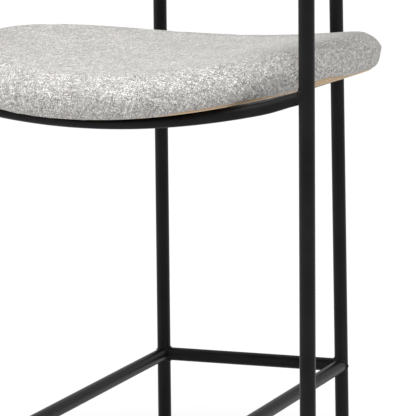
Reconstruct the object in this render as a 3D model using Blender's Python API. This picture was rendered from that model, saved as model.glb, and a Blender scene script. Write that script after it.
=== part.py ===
"""A counter-height barrel stool: bent tube frame, dished seat pad and wrap-around back band.

Metres. +Z is up, the front is towards -Y, and the origin is on the floor under the middle of the
overall width and depth. Every solid stands at least FIT_GAP clear of its neighbours.
"""

import math

import bmesh
import bpy
from mathutils import Matrix, Vector

# Fits
FIT_GAP = 0.0003
SCREW_HOLE_CLEAR = 0.0004
STEM_CLEAR = 0.0006

# Tubes
FRONT_POST_D = 0.0201
REAR_POST_D = 0.0190
STRETCHER_D = 0.0187
SEAT_RAIL_D = 0.0160
HOOP_D = 0.0200
TUBE_SIDES = 20
POST_SIDES = 24

# Post layout, measured at the footrest ring
RING_Z = 0.2050
REAR_HALF_SPACING = 0.1340
FRONT_HALF_SPACING = 0.2610
POST_DEPTH = 0.4965
REAR_LEAN = 0.0064
FRONT_LEAN = 0.0069
HOOP_Z = 0.8850
HOOP_END_PAST_POST = 0.0360
HOOP_STEPS = 44
END_PLUG_T = 0.0030

# Seat
SEAT_BOARD_Z = 0.6185
SEAT_DISH_R = 1.0300
SEAT_TILT = -0.0140
SEAT_SIDE_INSET = 0.0620
SEAT_REAR_REACH = 0.0120
SEAT_FRONT_OVERHANG = 0.0995
SEAT_FRONT_SHARE = 0.5100
SEAT_ROUNDNESS = 2.2300
SEAT_OUTLINE_STEPS = 64
BOARD_INSET = 0.0120
BOARD_T = 0.0120
BOARD_CHAMFER = 0.0010
PAD_LIP_ABOVE_BOARD = 0.0017
PAD_T = 0.0490
PAD_CROWN = 0.0040
PAD_TOP_ROLL = 0.0420
PAD_BOTTOM_ROLL = 0.0100
DUST_COVER_T = 0.0008
DUST_COVER_INSET = 0.0340
FRONT_RAIL_BULGE = 0.0360
RAIL_STEPS = 28

# Seat fixing
TAB_T = 0.0030
SEAT_TAB_L = 0.0260
SEAT_TAB_W = 0.0240
SEAT_TAB_X = 0.0750
SEAT_SCREW_LEN = 0.0130
SCREW_SHANK_D = 0.0040
SCREW_HEAD_D = 0.0088
SCREW_HEAD_H = 0.0026

# Back band
BAND_BOTTOM_Z = 0.7850
BAND_TOP_Z = 0.8950
BAND_PAD_T = 0.0440
BAND_BOARD_T = 0.0090
BAND_PANEL_T = 0.0027
BAND_EDGE_COVER = 0.0120
BAND_END_COVER = 0.0120
BAND_ROLL = 0.0150
BAND_STEPS = 48
BACK_TAB_W = 0.0440
BACK_TAB_H = 0.0440
BACK_SCREW_SPREAD = 0.0150

# Feet
GLIDE_H = 0.0060
GLIDE_STEM_D = 0.0150
GLIDE_STEM_L = 0.0200

UP = Vector((0.0, 0.0, 1.0))
SIDES = {"left": -1.0, "right": 1.0}


def clear_scene():
    for obj in list(bpy.data.objects):
        bpy.data.objects.remove(obj)


def material(name, colour, roughness, metallic=0.0):
    made = bpy.data.materials.new(name)
    made.use_nodes = True
    shader = made.node_tree.nodes["Principled BSDF"]
    shader.inputs["Base Color"].default_value = (*colour, 1.0)
    shader.inputs["Roughness"].default_value = roughness
    shader.inputs["Metallic"].default_value = metallic
    return made


def steel(name):
    return material(name, (0.020, 0.020, 0.022), 0.42)


# Plan layout


def post_half(front, z):
    if front:
        return FRONT_HALF_SPACING + FRONT_LEAN * (z - RING_Z)
    return REAR_HALF_SPACING - REAR_LEAN * (z - RING_Z)


def post_circle(z):
    """(distance of its centre in front of the rear posts, radius) of the circle through the posts."""
    rear, front = post_half(False, z), post_half(True, z)
    setback = (front**2 + POST_DEPTH**2 - rear**2) / (2.0 * POST_DEPTH)
    return setback, math.hypot(rear, setback)


def rear_line_y():
    """Y of the rear posts that centres the overall depth on the origin."""
    setback, radius = post_circle(HOOP_Z)
    back_reach = radius + HOOP_D / 2.0 - setback
    front_reach = POST_DEPTH + SEAT_FRONT_OVERHANG
    return (front_reach - back_reach) / 2.0


REAR_Y = rear_line_y()
FRONT_Y = REAR_Y - POST_DEPTH
HOOP_SETBACK, HOOP_R = post_circle(HOOP_Z)
HOOP_CENTRE_Y = REAR_Y - HOOP_SETBACK


def post_point(front, side, z):
    return Vector((side * post_half(front, z), FRONT_Y if front else REAR_Y, z))


def post_angle():
    """Angle of the right front post's top, seen from the hoop's centre."""
    top = post_point(True, 1.0, HOOP_Z)
    return math.atan2(top.y - HOOP_CENTRE_Y, top.x)


# Seat surface

SEAT_HALF_W = post_circle(SEAT_BOARD_Z)[1] - SEAT_SIDE_INSET
SEAT_DEPTH = POST_DEPTH + SEAT_FRONT_OVERHANG + SEAT_REAR_REACH
SEAT_FRONT_HALF = SEAT_DEPTH * SEAT_FRONT_SHARE
SEAT_REAR_HALF = SEAT_DEPTH - SEAT_FRONT_HALF
SEAT_Y = REAR_Y + SEAT_REAR_REACH - SEAT_REAR_HALF


def dish_z(x, y, height=0.0):
    """Height of the surface that lies this far above the underside of the seat board."""
    return SEAT_BOARD_Z + height + x * x / (2.0 * SEAT_DISH_R) + SEAT_TILT * (y - SEAT_Y)


def outline(inset, height, share=1.0):
    """One closed ring of the seat's plan outline, drawn in by inset, then scaled about its centre."""
    ring = []
    for step in range(SEAT_OUTLINE_STEPS):
        angle = 2.0 * math.pi * step / SEAT_OUTLINE_STEPS
        across, along = math.cos(angle), math.sin(angle)
        power = 2.0 / SEAT_ROUNDNESS
        depth = SEAT_REAR_HALF if along > 0.0 else SEAT_FRONT_HALF
        x = share * (SEAT_HALF_W - inset) * math.copysign(abs(across) ** power, across)
        y = SEAT_Y + share * (depth - inset) * math.copysign(abs(along) ** power, along)
        ring.append(Vector((x, y, dish_z(x, y, height))))
    return ring


def dish_frame(x, y, height):
    """A frame standing square on the seat surface, with its X axis level across the stool."""
    normal = Vector((-x / SEAT_DISH_R, -SEAT_TILT, 1.0)).normalized()
    forward = normal.cross(Vector((1.0, 0.0, 0.0))).normalized()
    across = forward.cross(normal)
    frame = Matrix((across, forward, normal)).transposed().to_4x4()
    frame.translation = Vector((x, y, dish_z(x, y, height)))
    return frame


# Solids


def mesh_object(name, points, faces, mat=None):
    mesh = bpy.data.meshes.new(name)
    mesh.from_pydata([tuple(point) for point in points], [], faces)
    shape = bmesh.new()
    shape.from_mesh(mesh)
    bmesh.ops.recalc_face_normals(shape, faces=shape.faces)
    shape.to_mesh(mesh)
    shape.free()
    obj = bpy.data.objects.new(name, mesh)
    bpy.context.scene.collection.objects.link(obj)
    if mat is not None:
        mesh.materials.append(mat)
    return obj


def loft(rings):
    """(points, faces) of a closed solid through rings of equal length, with its two ends filled.

    Each quad splits along its shorter diagonal, so two surfaces on the same plan points stay parallel.
    """
    count = len(rings[0])
    points = [point for ring in rings for point in ring]
    faces = []
    for row in range(len(rings) - 1):
        for step in range(count):
            after = (step + 1) % count
            a, b = row * count + step, row * count + after
            c, d = b + count, a + count
            if (points[a] - points[c]).length <= (points[b] - points[d]).length:
                faces.extend([(a, b, c), (a, c, d)])
            else:
                faces.extend([(a, b, d), (b, c, d)])
    faces.append(tuple(range(count)))
    faces.append(tuple(range(len(points) - count, len(points))))
    return points, faces


def joined(solids):
    """(points, faces) of several separate closed solids."""
    points, faces = [], []
    for solid_points, solid_faces in solids:
        offset = len(points)
        points.extend(solid_points)
        faces.extend(tuple(offset + index for index in face) for face in solid_faces)
    return points, faces


def tube_solid(path, radius, sides=TUBE_SIDES):
    rings = []
    for index, point in enumerate(path):
        before = path[max(index - 1, 0)]
        after = path[min(index + 1, len(path) - 1)]
        along = (after - before).normalized()
        level = UP if abs(along.z) < 0.9 else Vector((0.0, 1.0, 0.0))
        side = along.cross(level).normalized()
        rise = side.cross(along)
        ring = []
        for step in range(sides):
            angle = 2.0 * math.pi * (step + 0.5) / sides
            ring.append(point + radius * (math.cos(angle) * side + math.sin(angle) * rise))
        rings.append(ring)
    return loft(rings)


def turned_solid(profile, frame, sides=20):
    """A solid turned about the frame's Z axis from (radius, height) pairs."""
    rings = []
    for radius, height in profile:
        ring = []
        for step in range(sides):
            angle = 2.0 * math.pi * step / sides
            local = Vector((radius * math.cos(angle), radius * math.sin(angle), height))
            ring.append(frame @ local)
        rings.append(ring)
    return loft(rings)


def block_solid(low, high, frame):
    rings = []
    for z in (low[2], high[2]):
        corners = ((low[0], low[1]), (high[0], low[1]), (high[0], high[1]), (low[0], high[1]))
        rings.append([frame @ Vector((x, y, z)) for x, y in corners])
    return loft(rings)


def cut(target, cutters):
    """Cuts the solids out of the target, one Boolean each."""
    for index, (points, faces) in enumerate(cutters):
        cutter = mesh_object(f"{target.name}_cutter_{index}", points, faces)
        cutter.hide_render = True
        cutter.display_type = "WIRE"
        step = target.modifiers.new("cut", "BOOLEAN")
        step.operation = "DIFFERENCE"
        step.solver = "EXACT"
        step.object = cutter
        graph = bpy.context.evaluated_depsgraph_get()
        result = bpy.data.meshes.new_from_object(target.evaluated_get(graph))
        target.modifiers.clear()
        target.data = result
        bpy.data.objects.remove(cutter)
    return target


# Posts and hoop


def hoop_path():
    start = post_angle() - HOOP_END_PAST_POST / HOOP_R
    sweep = math.pi - 2.0 * start
    path = []
    for step in range(HOOP_STEPS + 1):
        angle = start + sweep * step / HOOP_STEPS
        x = HOOP_R * math.cos(angle)
        y = HOOP_CENTRE_Y + HOOP_R * math.sin(angle)
        path.append(Vector((x, y, HOOP_Z)))
    return path


def post_diameter(front):
    return FRONT_POST_D if front else REAR_POST_D


def post_solid(front, side, extra=0.0):
    base = GLIDE_H + FIT_GAP - extra
    path = [post_point(front, side, base), post_point(front, side, HOOP_Z)]
    return tube_solid(path, post_diameter(front) / 2.0 + extra, POST_SIDES)


def make_post(front, label):
    side = SIDES[label]
    name = f"{'front' if front else 'rear'}_post_{label}"
    post = mesh_object(name, *post_solid(front, side), steel(name))
    hoop = tube_solid(hoop_path(), HOOP_D / 2.0 + FIT_GAP)
    start = post_point(front, side, 0.0)
    finish = post_point(front, side, GLIDE_H + GLIDE_STEM_L + 2.0 * FIT_GAP)
    bore = tube_solid([start, finish], GLIDE_STEM_D / 2.0 + STEM_CLEAR, 20)
    return cut(post, [hoop, bore])


def make_hoop():
    return mesh_object("top_hoop", *tube_solid(hoop_path(), HOOP_D / 2.0), steel("top_hoop"))


def make_hoop_plug(label):
    path = hoop_path()
    end, inner = (path[0], path[1]) if label == "right" else (path[-1], path[-2])
    out = (end - inner).normalized()
    across = out.cross(UP)
    frame = Matrix((across, UP.copy(), across.cross(UP))).transposed().to_4x4()
    if (frame @ Vector((0.0, 0.0, 1.0))).dot(out) < 0.0:
        frame = Matrix((-across, UP.copy(), (-across).cross(UP))).transposed().to_4x4()
    frame.translation = end + out * FIT_GAP
    radius = HOOP_D / 2.0
    profile = [
        (radius, 0.0),
        (radius, END_PLUG_T * 0.45),
        (radius * 0.86, END_PLUG_T * 0.85),
        (radius * 0.5, END_PLUG_T),
    ]
    name = f"hoop_plug_{label}"
    plastic = material(name, (0.018, 0.018, 0.019), 0.5)
    return mesh_object(name, *turned_solid(profile, frame, 20), plastic)


def make_glide(front, label):
    name = f"{'front' if front else 'rear'}_glide_{label}"
    at = post_point(front, SIDES[label], 0.0)
    radius = post_diameter(front) / 2.0
    stem = GLIDE_STEM_D / 2.0
    profile = [
        (radius * 0.86, 0.0),
        (radius, 0.0014),
        (radius, GLIDE_H),
        (stem, GLIDE_H),
        (stem, GLIDE_H + GLIDE_STEM_L - 0.002),
        (stem - 0.0015, GLIDE_H + GLIDE_STEM_L),
    ]
    solid = turned_solid(profile, Matrix.Translation((at.x, at.y, 0.0)), 20)
    return mesh_object(name, *solid, material(name, (0.025, 0.025, 0.026), 0.55))


# Footrest ring


def ring_end(front, side):
    return post_point(front, side, RING_Z)


def side_stretcher_path(side):
    start = ring_end(False, side)
    return [start, Vector((start.x, FRONT_Y, RING_Z))]


def make_front_footrest():
    path = [ring_end(True, -1.0), ring_end(True, 1.0)]
    solid = tube_solid(path, STRETCHER_D / 2.0)
    bar = mesh_object("front_footrest", *solid, steel("front_footrest"))
    return cut(bar, [post_solid(True, side, FIT_GAP) for side in SIDES.values()])


def rear_stretcher_solid(extra=0.0):
    path = [ring_end(False, -1.0), ring_end(False, 1.0)]
    return tube_solid(path, STRETCHER_D / 2.0 + extra)


def make_rear_stretcher():
    bar = mesh_object("rear_stretcher", *rear_stretcher_solid(), steel("rear_stretcher"))
    return cut(bar, [post_solid(False, side, FIT_GAP) for side in SIDES.values()])


def make_side_stretcher(label):
    side = SIDES[label]
    name = f"side_stretcher_{label}"
    solid = tube_solid(side_stretcher_path(side), STRETCHER_D / 2.0)
    bar = mesh_object(name, *solid, steel(name))
    footrest = [ring_end(True, -1.0), ring_end(True, 1.0)]
    cutters = [
        tube_solid(footrest, STRETCHER_D / 2.0 + FIT_GAP),
        post_solid(False, side, FIT_GAP),
        rear_stretcher_solid(FIT_GAP),
    ]
    return cut(bar, cutters)


# Seat rails

RAIL_DROP = SEAT_RAIL_D / 2.0 + DUST_COVER_T + 2.0 * FIT_GAP


def rail_point(x, y):
    return Vector((x, y, dish_z(x, y, -RAIL_DROP)))


def front_rail_y(x):
    half = post_half(True, SEAT_BOARD_Z)
    return FRONT_Y - FRONT_RAIL_BULGE * (1.0 - (x / half) ** 2)


def front_rail_path():
    half = post_half(True, SEAT_BOARD_Z)
    xs = [half * (2.0 * step / RAIL_STEPS - 1.0) for step in range(RAIL_STEPS + 1)]
    return [rail_point(x, front_rail_y(x)) for x in xs]


def rear_rail_path(past=0.0):
    half = post_half(False, SEAT_BOARD_Z) + past
    xs = [half * (2.0 * step / 16.0 - 1.0) for step in range(17)]
    return [rail_point(x, REAR_Y) for x in xs]


def side_rail_path(side):
    x = side * post_half(False, SEAT_BOARD_Z)
    return [rail_point(x, REAR_Y), rail_point(x, front_rail_y(x))]


def make_front_rail():
    solid = tube_solid(front_rail_path(), SEAT_RAIL_D / 2.0)
    rail = mesh_object("front_seat_rail", *solid, steel("front_seat_rail"))
    return cut(rail, [post_solid(True, side, FIT_GAP) for side in SIDES.values()])


def make_rear_rail():
    solid = tube_solid(rear_rail_path(), SEAT_RAIL_D / 2.0)
    rail = mesh_object("rear_seat_rail", *solid, steel("rear_seat_rail"))
    return cut(rail, [post_solid(False, side, FIT_GAP) for side in SIDES.values()])


def make_side_rail(label):
    side = SIDES[label]
    name = f"side_seat_rail_{label}"
    rail = mesh_object(name, *tube_solid(side_rail_path(side), SEAT_RAIL_D / 2.0), steel(name))
    cutters = [
        tube_solid(front_rail_path(), SEAT_RAIL_D / 2.0 + FIT_GAP),
        tube_solid(rear_rail_path(0.0037), SEAT_RAIL_D / 2.0 + FIT_GAP),
        post_solid(False, side, FIT_GAP),
    ]
    return cut(rail, cutters)


# Seat fixing


def seat_fixing_frames():
    """Frames on the underside of the board, one at each screw, with +Y running away from the rail."""
    reach = SEAT_RAIL_D / 2.0 + FIT_GAP + SEAT_TAB_L / 2.0
    spots = []
    for side in SIDES.values():
        x = side * SEAT_TAB_X
        spots.append((x, front_rail_y(x) + reach, 0.0))
        spots.append((x * 0.9, REAR_Y - reach, math.pi))
        rail_x = post_half(False, SEAT_BOARD_Z)
        middle_y = (REAR_Y + FRONT_Y) / 2.0
        spots.append((side * (rail_x - reach), middle_y, side * math.pi / 2.0))
    return [dish_frame(x, y, 0.0) @ Matrix.Rotation(turn, 4, "Z") for x, y, turn in spots]


SCREW_HOLE_R = SCREW_SHANK_D / 2.0 + SCREW_HOLE_CLEAR


def seat_hole_solids(low, high):
    profile = [(SCREW_HOLE_R, low), (SCREW_HOLE_R, high)]
    return joined([turned_solid(profile, frame, 12) for frame in seat_fixing_frames()])


def make_seat_tab(number, frame):
    top = -DUST_COVER_T - 2.0 * FIT_GAP
    half_w, half_l = SEAT_TAB_W / 2.0, SEAT_TAB_L / 2.0
    low, high = (-half_w, -half_l, top - TAB_T), (half_w, half_l, top)
    name = f"seat_tab_{number}"
    tab = mesh_object(name, *block_solid(low, high, frame), steel(name))
    hole = [(SCREW_HOLE_R, top - TAB_T - 0.002), (SCREW_HOLE_R, top + 0.002)]
    rails = [front_rail_path(), rear_rail_path(), side_rail_path(-1.0), side_rail_path(1.0)]
    cutters = [tube_solid(path, SEAT_RAIL_D / 2.0 + FIT_GAP) for path in rails]
    return cut(tab, [turned_solid(hole, frame, 12), *cutters])


def make_seat_screw(number, frame):
    under = -DUST_COVER_T - 3.0 * FIT_GAP - TAB_T
    shank, head = SCREW_SHANK_D / 2.0, SCREW_HEAD_D / 2.0
    profile = [
        (head * 0.62, under - SCREW_HEAD_H),
        (head, under - SCREW_HEAD_H * 0.55),
        (head, under),
        (shank, under),
        (shank, under + SEAT_SCREW_LEN - 0.0015),
        (shank * 0.3, under + SEAT_SCREW_LEN),
    ]
    name = f"seat_screw_{number}"
    zinc = material(name, (0.55, 0.55, 0.53), 0.35, 1.0)
    return mesh_object(name, *turned_solid(profile, frame, 12), zinc)


# Seat board, cover and pad

SHARES = (0.05, 0.25, 0.50, 0.75)


def flat_rings(height):
    """Rings from the middle out to the dust cover's edge, on plan points that every layer shares."""
    return [outline(DUST_COVER_INSET, height, share) for share in (*SHARES, 1.0)]


def make_seat_board():
    rings = flat_rings(0.0)
    rings.append(outline(BOARD_INSET + BOARD_CHAMFER, 0.0))
    rings.append(outline(BOARD_INSET, BOARD_CHAMFER))
    rings.append(outline(BOARD_INSET, BOARD_T - BOARD_CHAMFER))
    rings.append(outline(BOARD_INSET + BOARD_CHAMFER, BOARD_T))
    rings.extend(reversed(flat_rings(BOARD_T)))
    wood = material("seat_board", (0.62, 0.47, 0.31), 0.6)
    board = mesh_object("seat_board", *loft(rings), wood)
    depth = SEAT_SCREW_LEN - DUST_COVER_T - 3.0 * FIT_GAP - TAB_T
    return cut(board, [seat_hole_solids(-0.002, depth + 2.0 * FIT_GAP)])


def make_dust_cover():
    top, bottom = -FIT_GAP, -FIT_GAP - DUST_COVER_T
    rings = flat_rings(bottom) + flat_rings(top)[::-1]
    cloth = material("dust_cover", (0.02, 0.02, 0.02), 0.9)
    cover = mesh_object("dust_cover", *loft(rings), cloth)
    return cut(cover, [seat_hole_solids(bottom - 0.002, top + 0.001)])


def make_seat_pad():
    """The foam and its cover as one soft piece, with a pocket that takes the board."""
    lip = PAD_LIP_ABOVE_BOARD
    pocket_inset = BOARD_INSET - FIT_GAP
    ceiling = BOARD_T + FIT_GAP
    rings = flat_rings(ceiling)
    rings.append(outline(pocket_inset, ceiling))
    rings.append(outline(pocket_inset, lip))
    for step in range(6):
        turn = math.radians(90.0 * step / 5.0)
        inset = PAD_BOTTOM_ROLL * (1.0 - math.sin(turn))
        rings.append(outline(inset, lip + PAD_BOTTOM_ROLL * (1.0 - math.cos(turn))))
    shoulder = lip + PAD_T - PAD_TOP_ROLL
    if shoulder > lip + PAD_BOTTOM_ROLL + FIT_GAP:
        rings.append(outline(0.0, shoulder))
    base = max(shoulder, lip + PAD_BOTTOM_ROLL)
    for step in range(1, 9):
        turn = math.radians(90.0 * step / 8.0)
        rise = (lip + PAD_T - base) * math.sin(turn)
        rings.append(outline(PAD_TOP_ROLL * (1.0 - math.cos(turn)), base + rise))
    for share in reversed(SHARES):
        crown = PAD_CROWN * (1.0 - share * share)
        rings.append(outline(PAD_TOP_ROLL, lip + PAD_T + crown, share))
    fabric = material("seat_pad", (0.52, 0.51, 0.49), 0.95)
    return mesh_object("seat_pad", *loft(rings), fabric)


# Back band

BAND_OUT_R = HOOP_R - FRONT_POST_D / 2.0 - 2.0 * FIT_GAP - TAB_T - FIT_GAP
PANEL_IN_R = BAND_OUT_R - BAND_PANEL_T
PAD_OUT_R = PANEL_IN_R - FIT_GAP
PAD_IN_R = PAD_OUT_R - BAND_PAD_T
BOARD_IN_R = PAD_OUT_R - BAND_BOARD_T


def band_point(radius, angle, z):
    x = radius * math.cos(angle)
    return Vector((x, HOOP_CENTRE_Y + radius * math.sin(angle), z))


def band_start():
    return post_angle() - HOOP_END_PAST_POST / HOOP_R


def band_solid(section, shorten):
    """A closed (radius, z) section swept round the band, its ends drawn in by an arc length."""
    start = band_start()
    pitch = (math.pi - 2.0 * start) / BAND_STEPS
    first = shorten / HOOP_R / pitch
    last = BAND_STEPS - first
    stations = [first, *(step for step in range(BAND_STEPS + 1) if first < step < last), last]
    rings = []
    for station in stations:
        before = min(int(station), BAND_STEPS - 1)
        low, high = start + pitch * before, start + pitch * (before + 1)
        share = station - before
        rings.append([band_point(r, low, z).lerp(band_point(r, high, z), share) for r, z in section])
    return loft(rings)


def band_rectangle(inner, outer, low, high, shorten):
    section = [(inner, low), (outer, low), (outer, high), (inner, high)]
    return band_solid(section, shorten)


def band_pad_section():
    """A section flat on its outer side, with both inner corners rolled."""
    section = [(PAD_OUT_R, BAND_BOTTOM_Z + 0.002), (PAD_OUT_R, BAND_TOP_Z - 0.002)]
    section.append((PAD_OUT_R - 0.002, BAND_TOP_Z))
    corners = ((BAND_TOP_Z - BAND_ROLL, 1.0), (BAND_BOTTOM_Z + BAND_ROLL, -1.0))
    for centre_z, way in corners:
        arc = []
        for step in range(6):
            turn = math.radians(90.0 * step / 5.0)
            radius = PAD_IN_R + BAND_ROLL * (1.0 - math.sin(turn))
            arc.append((radius, centre_z + way * BAND_ROLL * math.cos(turn)))
        section.extend(arc if way > 0.0 else reversed(arc))
    section.append((PAD_OUT_R - 0.002, BAND_BOTTOM_Z))
    return section


def back_screw_frames():
    """Frames at the screws, with +Z running outwards from the hoop's centre line."""
    frames = []
    for side in SIDES.values():
        for front in (True, False):
            middle_z = (BAND_BOTTOM_Z + BAND_TOP_Z) / 2.0 - 0.012
            at = post_point(front, side, middle_z)
            out = Vector((at.x, at.y - HOOP_CENTRE_Y, 0.0)).normalized()
            along = UP.cross(out)
            for way in (-1.0, 1.0):
                frame = Matrix((along, UP.copy(), along.cross(UP))).transposed().to_4x4()
                foot = Vector((0.0, HOOP_CENTRE_Y, middle_z)) + BAND_OUT_R * out
                frame.translation = foot + way * BACK_SCREW_SPREAD * along
                frames.append(frame)
    return frames


def back_hole_solids(low, high):
    profile = [(SCREW_HOLE_R, low), (SCREW_HOLE_R, high)]
    return joined([turned_solid(profile, frame, 12) for frame in back_screw_frames()])


def make_back_board():
    low, high = BAND_BOTTOM_Z + BAND_EDGE_COVER, BAND_TOP_Z - BAND_EDGE_COVER
    solid = band_rectangle(BOARD_IN_R, PAD_OUT_R, low, high, BAND_END_COVER)
    wood = material("back_board", (0.60, 0.45, 0.30), 0.6)
    board = mesh_object("back_board", *solid, wood)
    floor = PAD_OUT_R - BAND_OUT_R - BAND_BOARD_T + 0.0016
    return cut(board, [back_hole_solids(floor, 0.002)])


def make_back_pad():
    fabric = material("back_pad", (0.52, 0.51, 0.49), 0.95)
    pad = mesh_object("back_pad", *band_solid(band_pad_section(), 0.0), fabric)
    low = BAND_BOTTOM_Z + BAND_EDGE_COVER - FIT_GAP
    high = BAND_TOP_Z - BAND_EDGE_COVER + FIT_GAP
    inner, outer = BOARD_IN_R - FIT_GAP, PAD_OUT_R + 0.004
    pocket = band_rectangle(inner, outer, low, high, BAND_END_COVER - FIT_GAP)
    return cut(pad, [pocket])


def make_back_panel():
    low, high = BAND_BOTTOM_Z + 0.004, BAND_TOP_Z - 0.004
    solid = band_rectangle(PANEL_IN_R, BAND_OUT_R, low, high, 0.003)
    fabric = material("back_outer_panel", (0.50, 0.49, 0.47), 0.95)
    panel = mesh_object("back_outer_panel", *solid, fabric)
    return cut(panel, [back_hole_solids(-0.006, 0.002)])


def make_back_tab(number, first, second):
    frame = first.copy()
    frame.translation = (first.translation + second.translation) / 2.0
    half_w, half_h = BACK_TAB_W / 2.0, BACK_TAB_H / 2.0
    low, high = (-half_w, -half_h, FIT_GAP), (half_w, half_h, FIT_GAP + TAB_T)
    name = f"back_tab_{number}"
    tab = mesh_object(name, *block_solid(low, high, frame), steel(name))
    posts = [post_solid(front, side, FIT_GAP) for front in (True, False) for side in SIDES.values()]
    hole = [(SCREW_HOLE_R, -0.002), (SCREW_HOLE_R, TAB_T + 0.002)]
    holes = joined([turned_solid(hole, spot, 12) for spot in (first, second)])
    return cut(tab, [holes, *posts])


def make_back_screw(number, frame):
    seat = TAB_T + 2.0 * FIT_GAP
    shank, head = SCREW_SHANK_D / 2.0, SCREW_HEAD_D / 2.0
    tip = PAD_OUT_R - BAND_OUT_R - BAND_BOARD_T + 0.0016 + 2.0 * FIT_GAP
    profile = [
        (shank * 0.3, tip),
        (shank, tip + 0.0015),
        (shank, seat),
        (head, seat),
        (head, seat + SCREW_HEAD_H * 0.55),
        (head * 0.62, seat + SCREW_HEAD_H),
    ]
    name = f"back_screw_{number}"
    zinc = material(name, (0.55, 0.55, 0.53), 0.35, 1.0)
    return mesh_object(name, *turned_solid(profile, frame, 12), zinc)


def build():
    clear_scene()
    for label in SIDES:
        for front in (True, False):
            make_post(front, label)
            make_glide(front, label)
        make_side_stretcher(label)
        make_side_rail(label)
        make_hoop_plug(label)
    make_hoop()
    make_front_footrest()
    make_rear_stretcher()
    make_front_rail()
    make_rear_rail()
    for number, frame in enumerate(seat_fixing_frames(), 1):
        make_seat_tab(number, frame)
        make_seat_screw(number, frame)
    make_dust_cover()
    make_seat_board()
    make_seat_pad()
    make_back_board()
    make_back_pad()
    make_back_panel()
    frames = back_screw_frames()
    for number, frame in enumerate(frames, 1):
        make_back_screw(number, frame)
    for number in range(len(frames) // 2):
        make_back_tab(number + 1, frames[2 * number], frames[2 * number + 1])


build()
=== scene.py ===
import functools
import math

import bmesh
import bpy
import numpy as np
from bpy.props import FloatProperty, FloatVectorProperty, PointerProperty
from mathutils import Matrix, Vector


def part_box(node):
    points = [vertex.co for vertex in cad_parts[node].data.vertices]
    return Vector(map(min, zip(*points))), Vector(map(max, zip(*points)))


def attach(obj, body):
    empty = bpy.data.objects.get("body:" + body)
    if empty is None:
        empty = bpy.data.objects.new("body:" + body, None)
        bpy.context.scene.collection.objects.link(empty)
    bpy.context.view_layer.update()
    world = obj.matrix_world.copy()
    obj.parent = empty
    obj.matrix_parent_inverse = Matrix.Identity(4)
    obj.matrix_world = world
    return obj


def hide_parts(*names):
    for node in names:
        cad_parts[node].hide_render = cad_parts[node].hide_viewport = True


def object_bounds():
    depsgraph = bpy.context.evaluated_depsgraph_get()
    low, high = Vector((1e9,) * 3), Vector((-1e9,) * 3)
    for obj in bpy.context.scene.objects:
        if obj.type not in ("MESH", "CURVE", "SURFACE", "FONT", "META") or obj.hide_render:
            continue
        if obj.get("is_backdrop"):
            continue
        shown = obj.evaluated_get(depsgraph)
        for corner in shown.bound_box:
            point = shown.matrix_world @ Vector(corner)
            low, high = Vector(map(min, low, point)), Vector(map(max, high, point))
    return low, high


bl_info = {
    "name": "Barrel counter stool",
    "version": (1, 0, 0),
    "blender": (4, 5, 0),
    "location": "View3D > Sidebar > Stool",
    "description": "Builds the finished frame, seat and back of a tube-framed counter stool",
    "category": "Object",
}

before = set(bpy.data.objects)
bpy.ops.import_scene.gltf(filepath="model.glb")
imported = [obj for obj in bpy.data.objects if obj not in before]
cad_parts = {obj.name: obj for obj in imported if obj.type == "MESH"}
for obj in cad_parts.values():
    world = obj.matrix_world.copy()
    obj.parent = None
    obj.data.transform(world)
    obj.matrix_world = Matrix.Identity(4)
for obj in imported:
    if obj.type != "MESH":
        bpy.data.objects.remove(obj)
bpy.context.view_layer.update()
BODY = "root"
UP = Vector((0.0, 0.0, 1.0))


# Sizes and colours


def length(name, description, default):
    return FloatProperty(name=name, description=description, default=default, unit="LENGTH")


def number(name, description, default):
    return FloatProperty(name=name, description=description, default=default)


def colour(name, description, default):
    return FloatVectorProperty(
        name=name, description=description, subtype="COLOR", default=default
    )


class FrameSettings(bpy.types.PropertyGroup):
    """The welded tube frame"""

    coat: colour("Coat colour", "Colour of the powder coat", (0.0040, 0.0038, 0.0040))
    gloss: number("Coat roughness", "How dull the powder coat is", 0.30)
    bead: length("Weld bead", "Radius of a weld bead", 0.0021)
    fillet: length("Rail fillet", "Radius of the dressed weld at the front rail", 0.0046)


class SeatSettings(bpy.types.PropertyGroup):
    """The dished seat and its cover"""

    roundness: number("Outline roundness", "Power of the plan outline", 2.23)
    front_share: number("Front share", "Share of the depth ahead of the middle", 0.51)
    dish: length("Dish radius", "Radius of the curve from side to side", 1.03)
    tilt: number("Tilt", "Rise per metre towards the back", -0.014)
    lip: length("Cover edge", "How far the cover's edge stops above the board", 0.0017)
    thickness: length("Pad thickness", "Pad at its edge", 0.049)
    crown: length("Crown", "Extra pad height in the middle", 0.004)
    top_roll: length("Top roll", "Reach of the rolled top edge", 0.042)
    drop: length("Top drop", "Height of the rolled top edge", 0.026)
    bottom_roll: length("Bottom roll", "Reach of the rolled bottom edge", 0.010)
    bottom_rise: length("Bottom rise", "Height of the rolled bottom edge", 0.018)


class ClothSettings(bpy.types.PropertyGroup):
    """The flecked cover cloth"""

    thread: length("Thread", "Spacing of the threads", 0.00140)
    light: colour("Light thread", "Palest yarn", (0.86, 0.84, 0.81))
    middle: colour("Middle thread", "Main yarn", (0.40, 0.388, 0.374))
    dark: colour("Dark thread", "Darkest yarn", (0.12, 0.115, 0.11))


class StageSettings(bpy.types.PropertyGroup):
    """Camera, lights and floor"""

    place: FloatVectorProperty(
        name="Camera place",
        description="Where the camera stands",
        subtype="XYZ",
        unit="LENGTH",
        default=(1.498828, -3.67103, 1.113135),
    )
    azimuth: number("Azimuth", "Degrees to the right", 21.57)
    pitch: number("Pitch", "Degrees downwards", 9.283)
    roll: number("Roll", "Degrees about the view", -0.875)
    lens: number("Lens", "Focal length in mm", 263.944)
    overhead: number("Overhead light", "Strength", 3.0)
    side: number("Side light", "Power in watts", 15.0)
    front: number("Front light", "Power in watts", 13.0)
    fill: number("Surrounding light", "Strength", 0.74)


# Shader arithmetic


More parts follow.
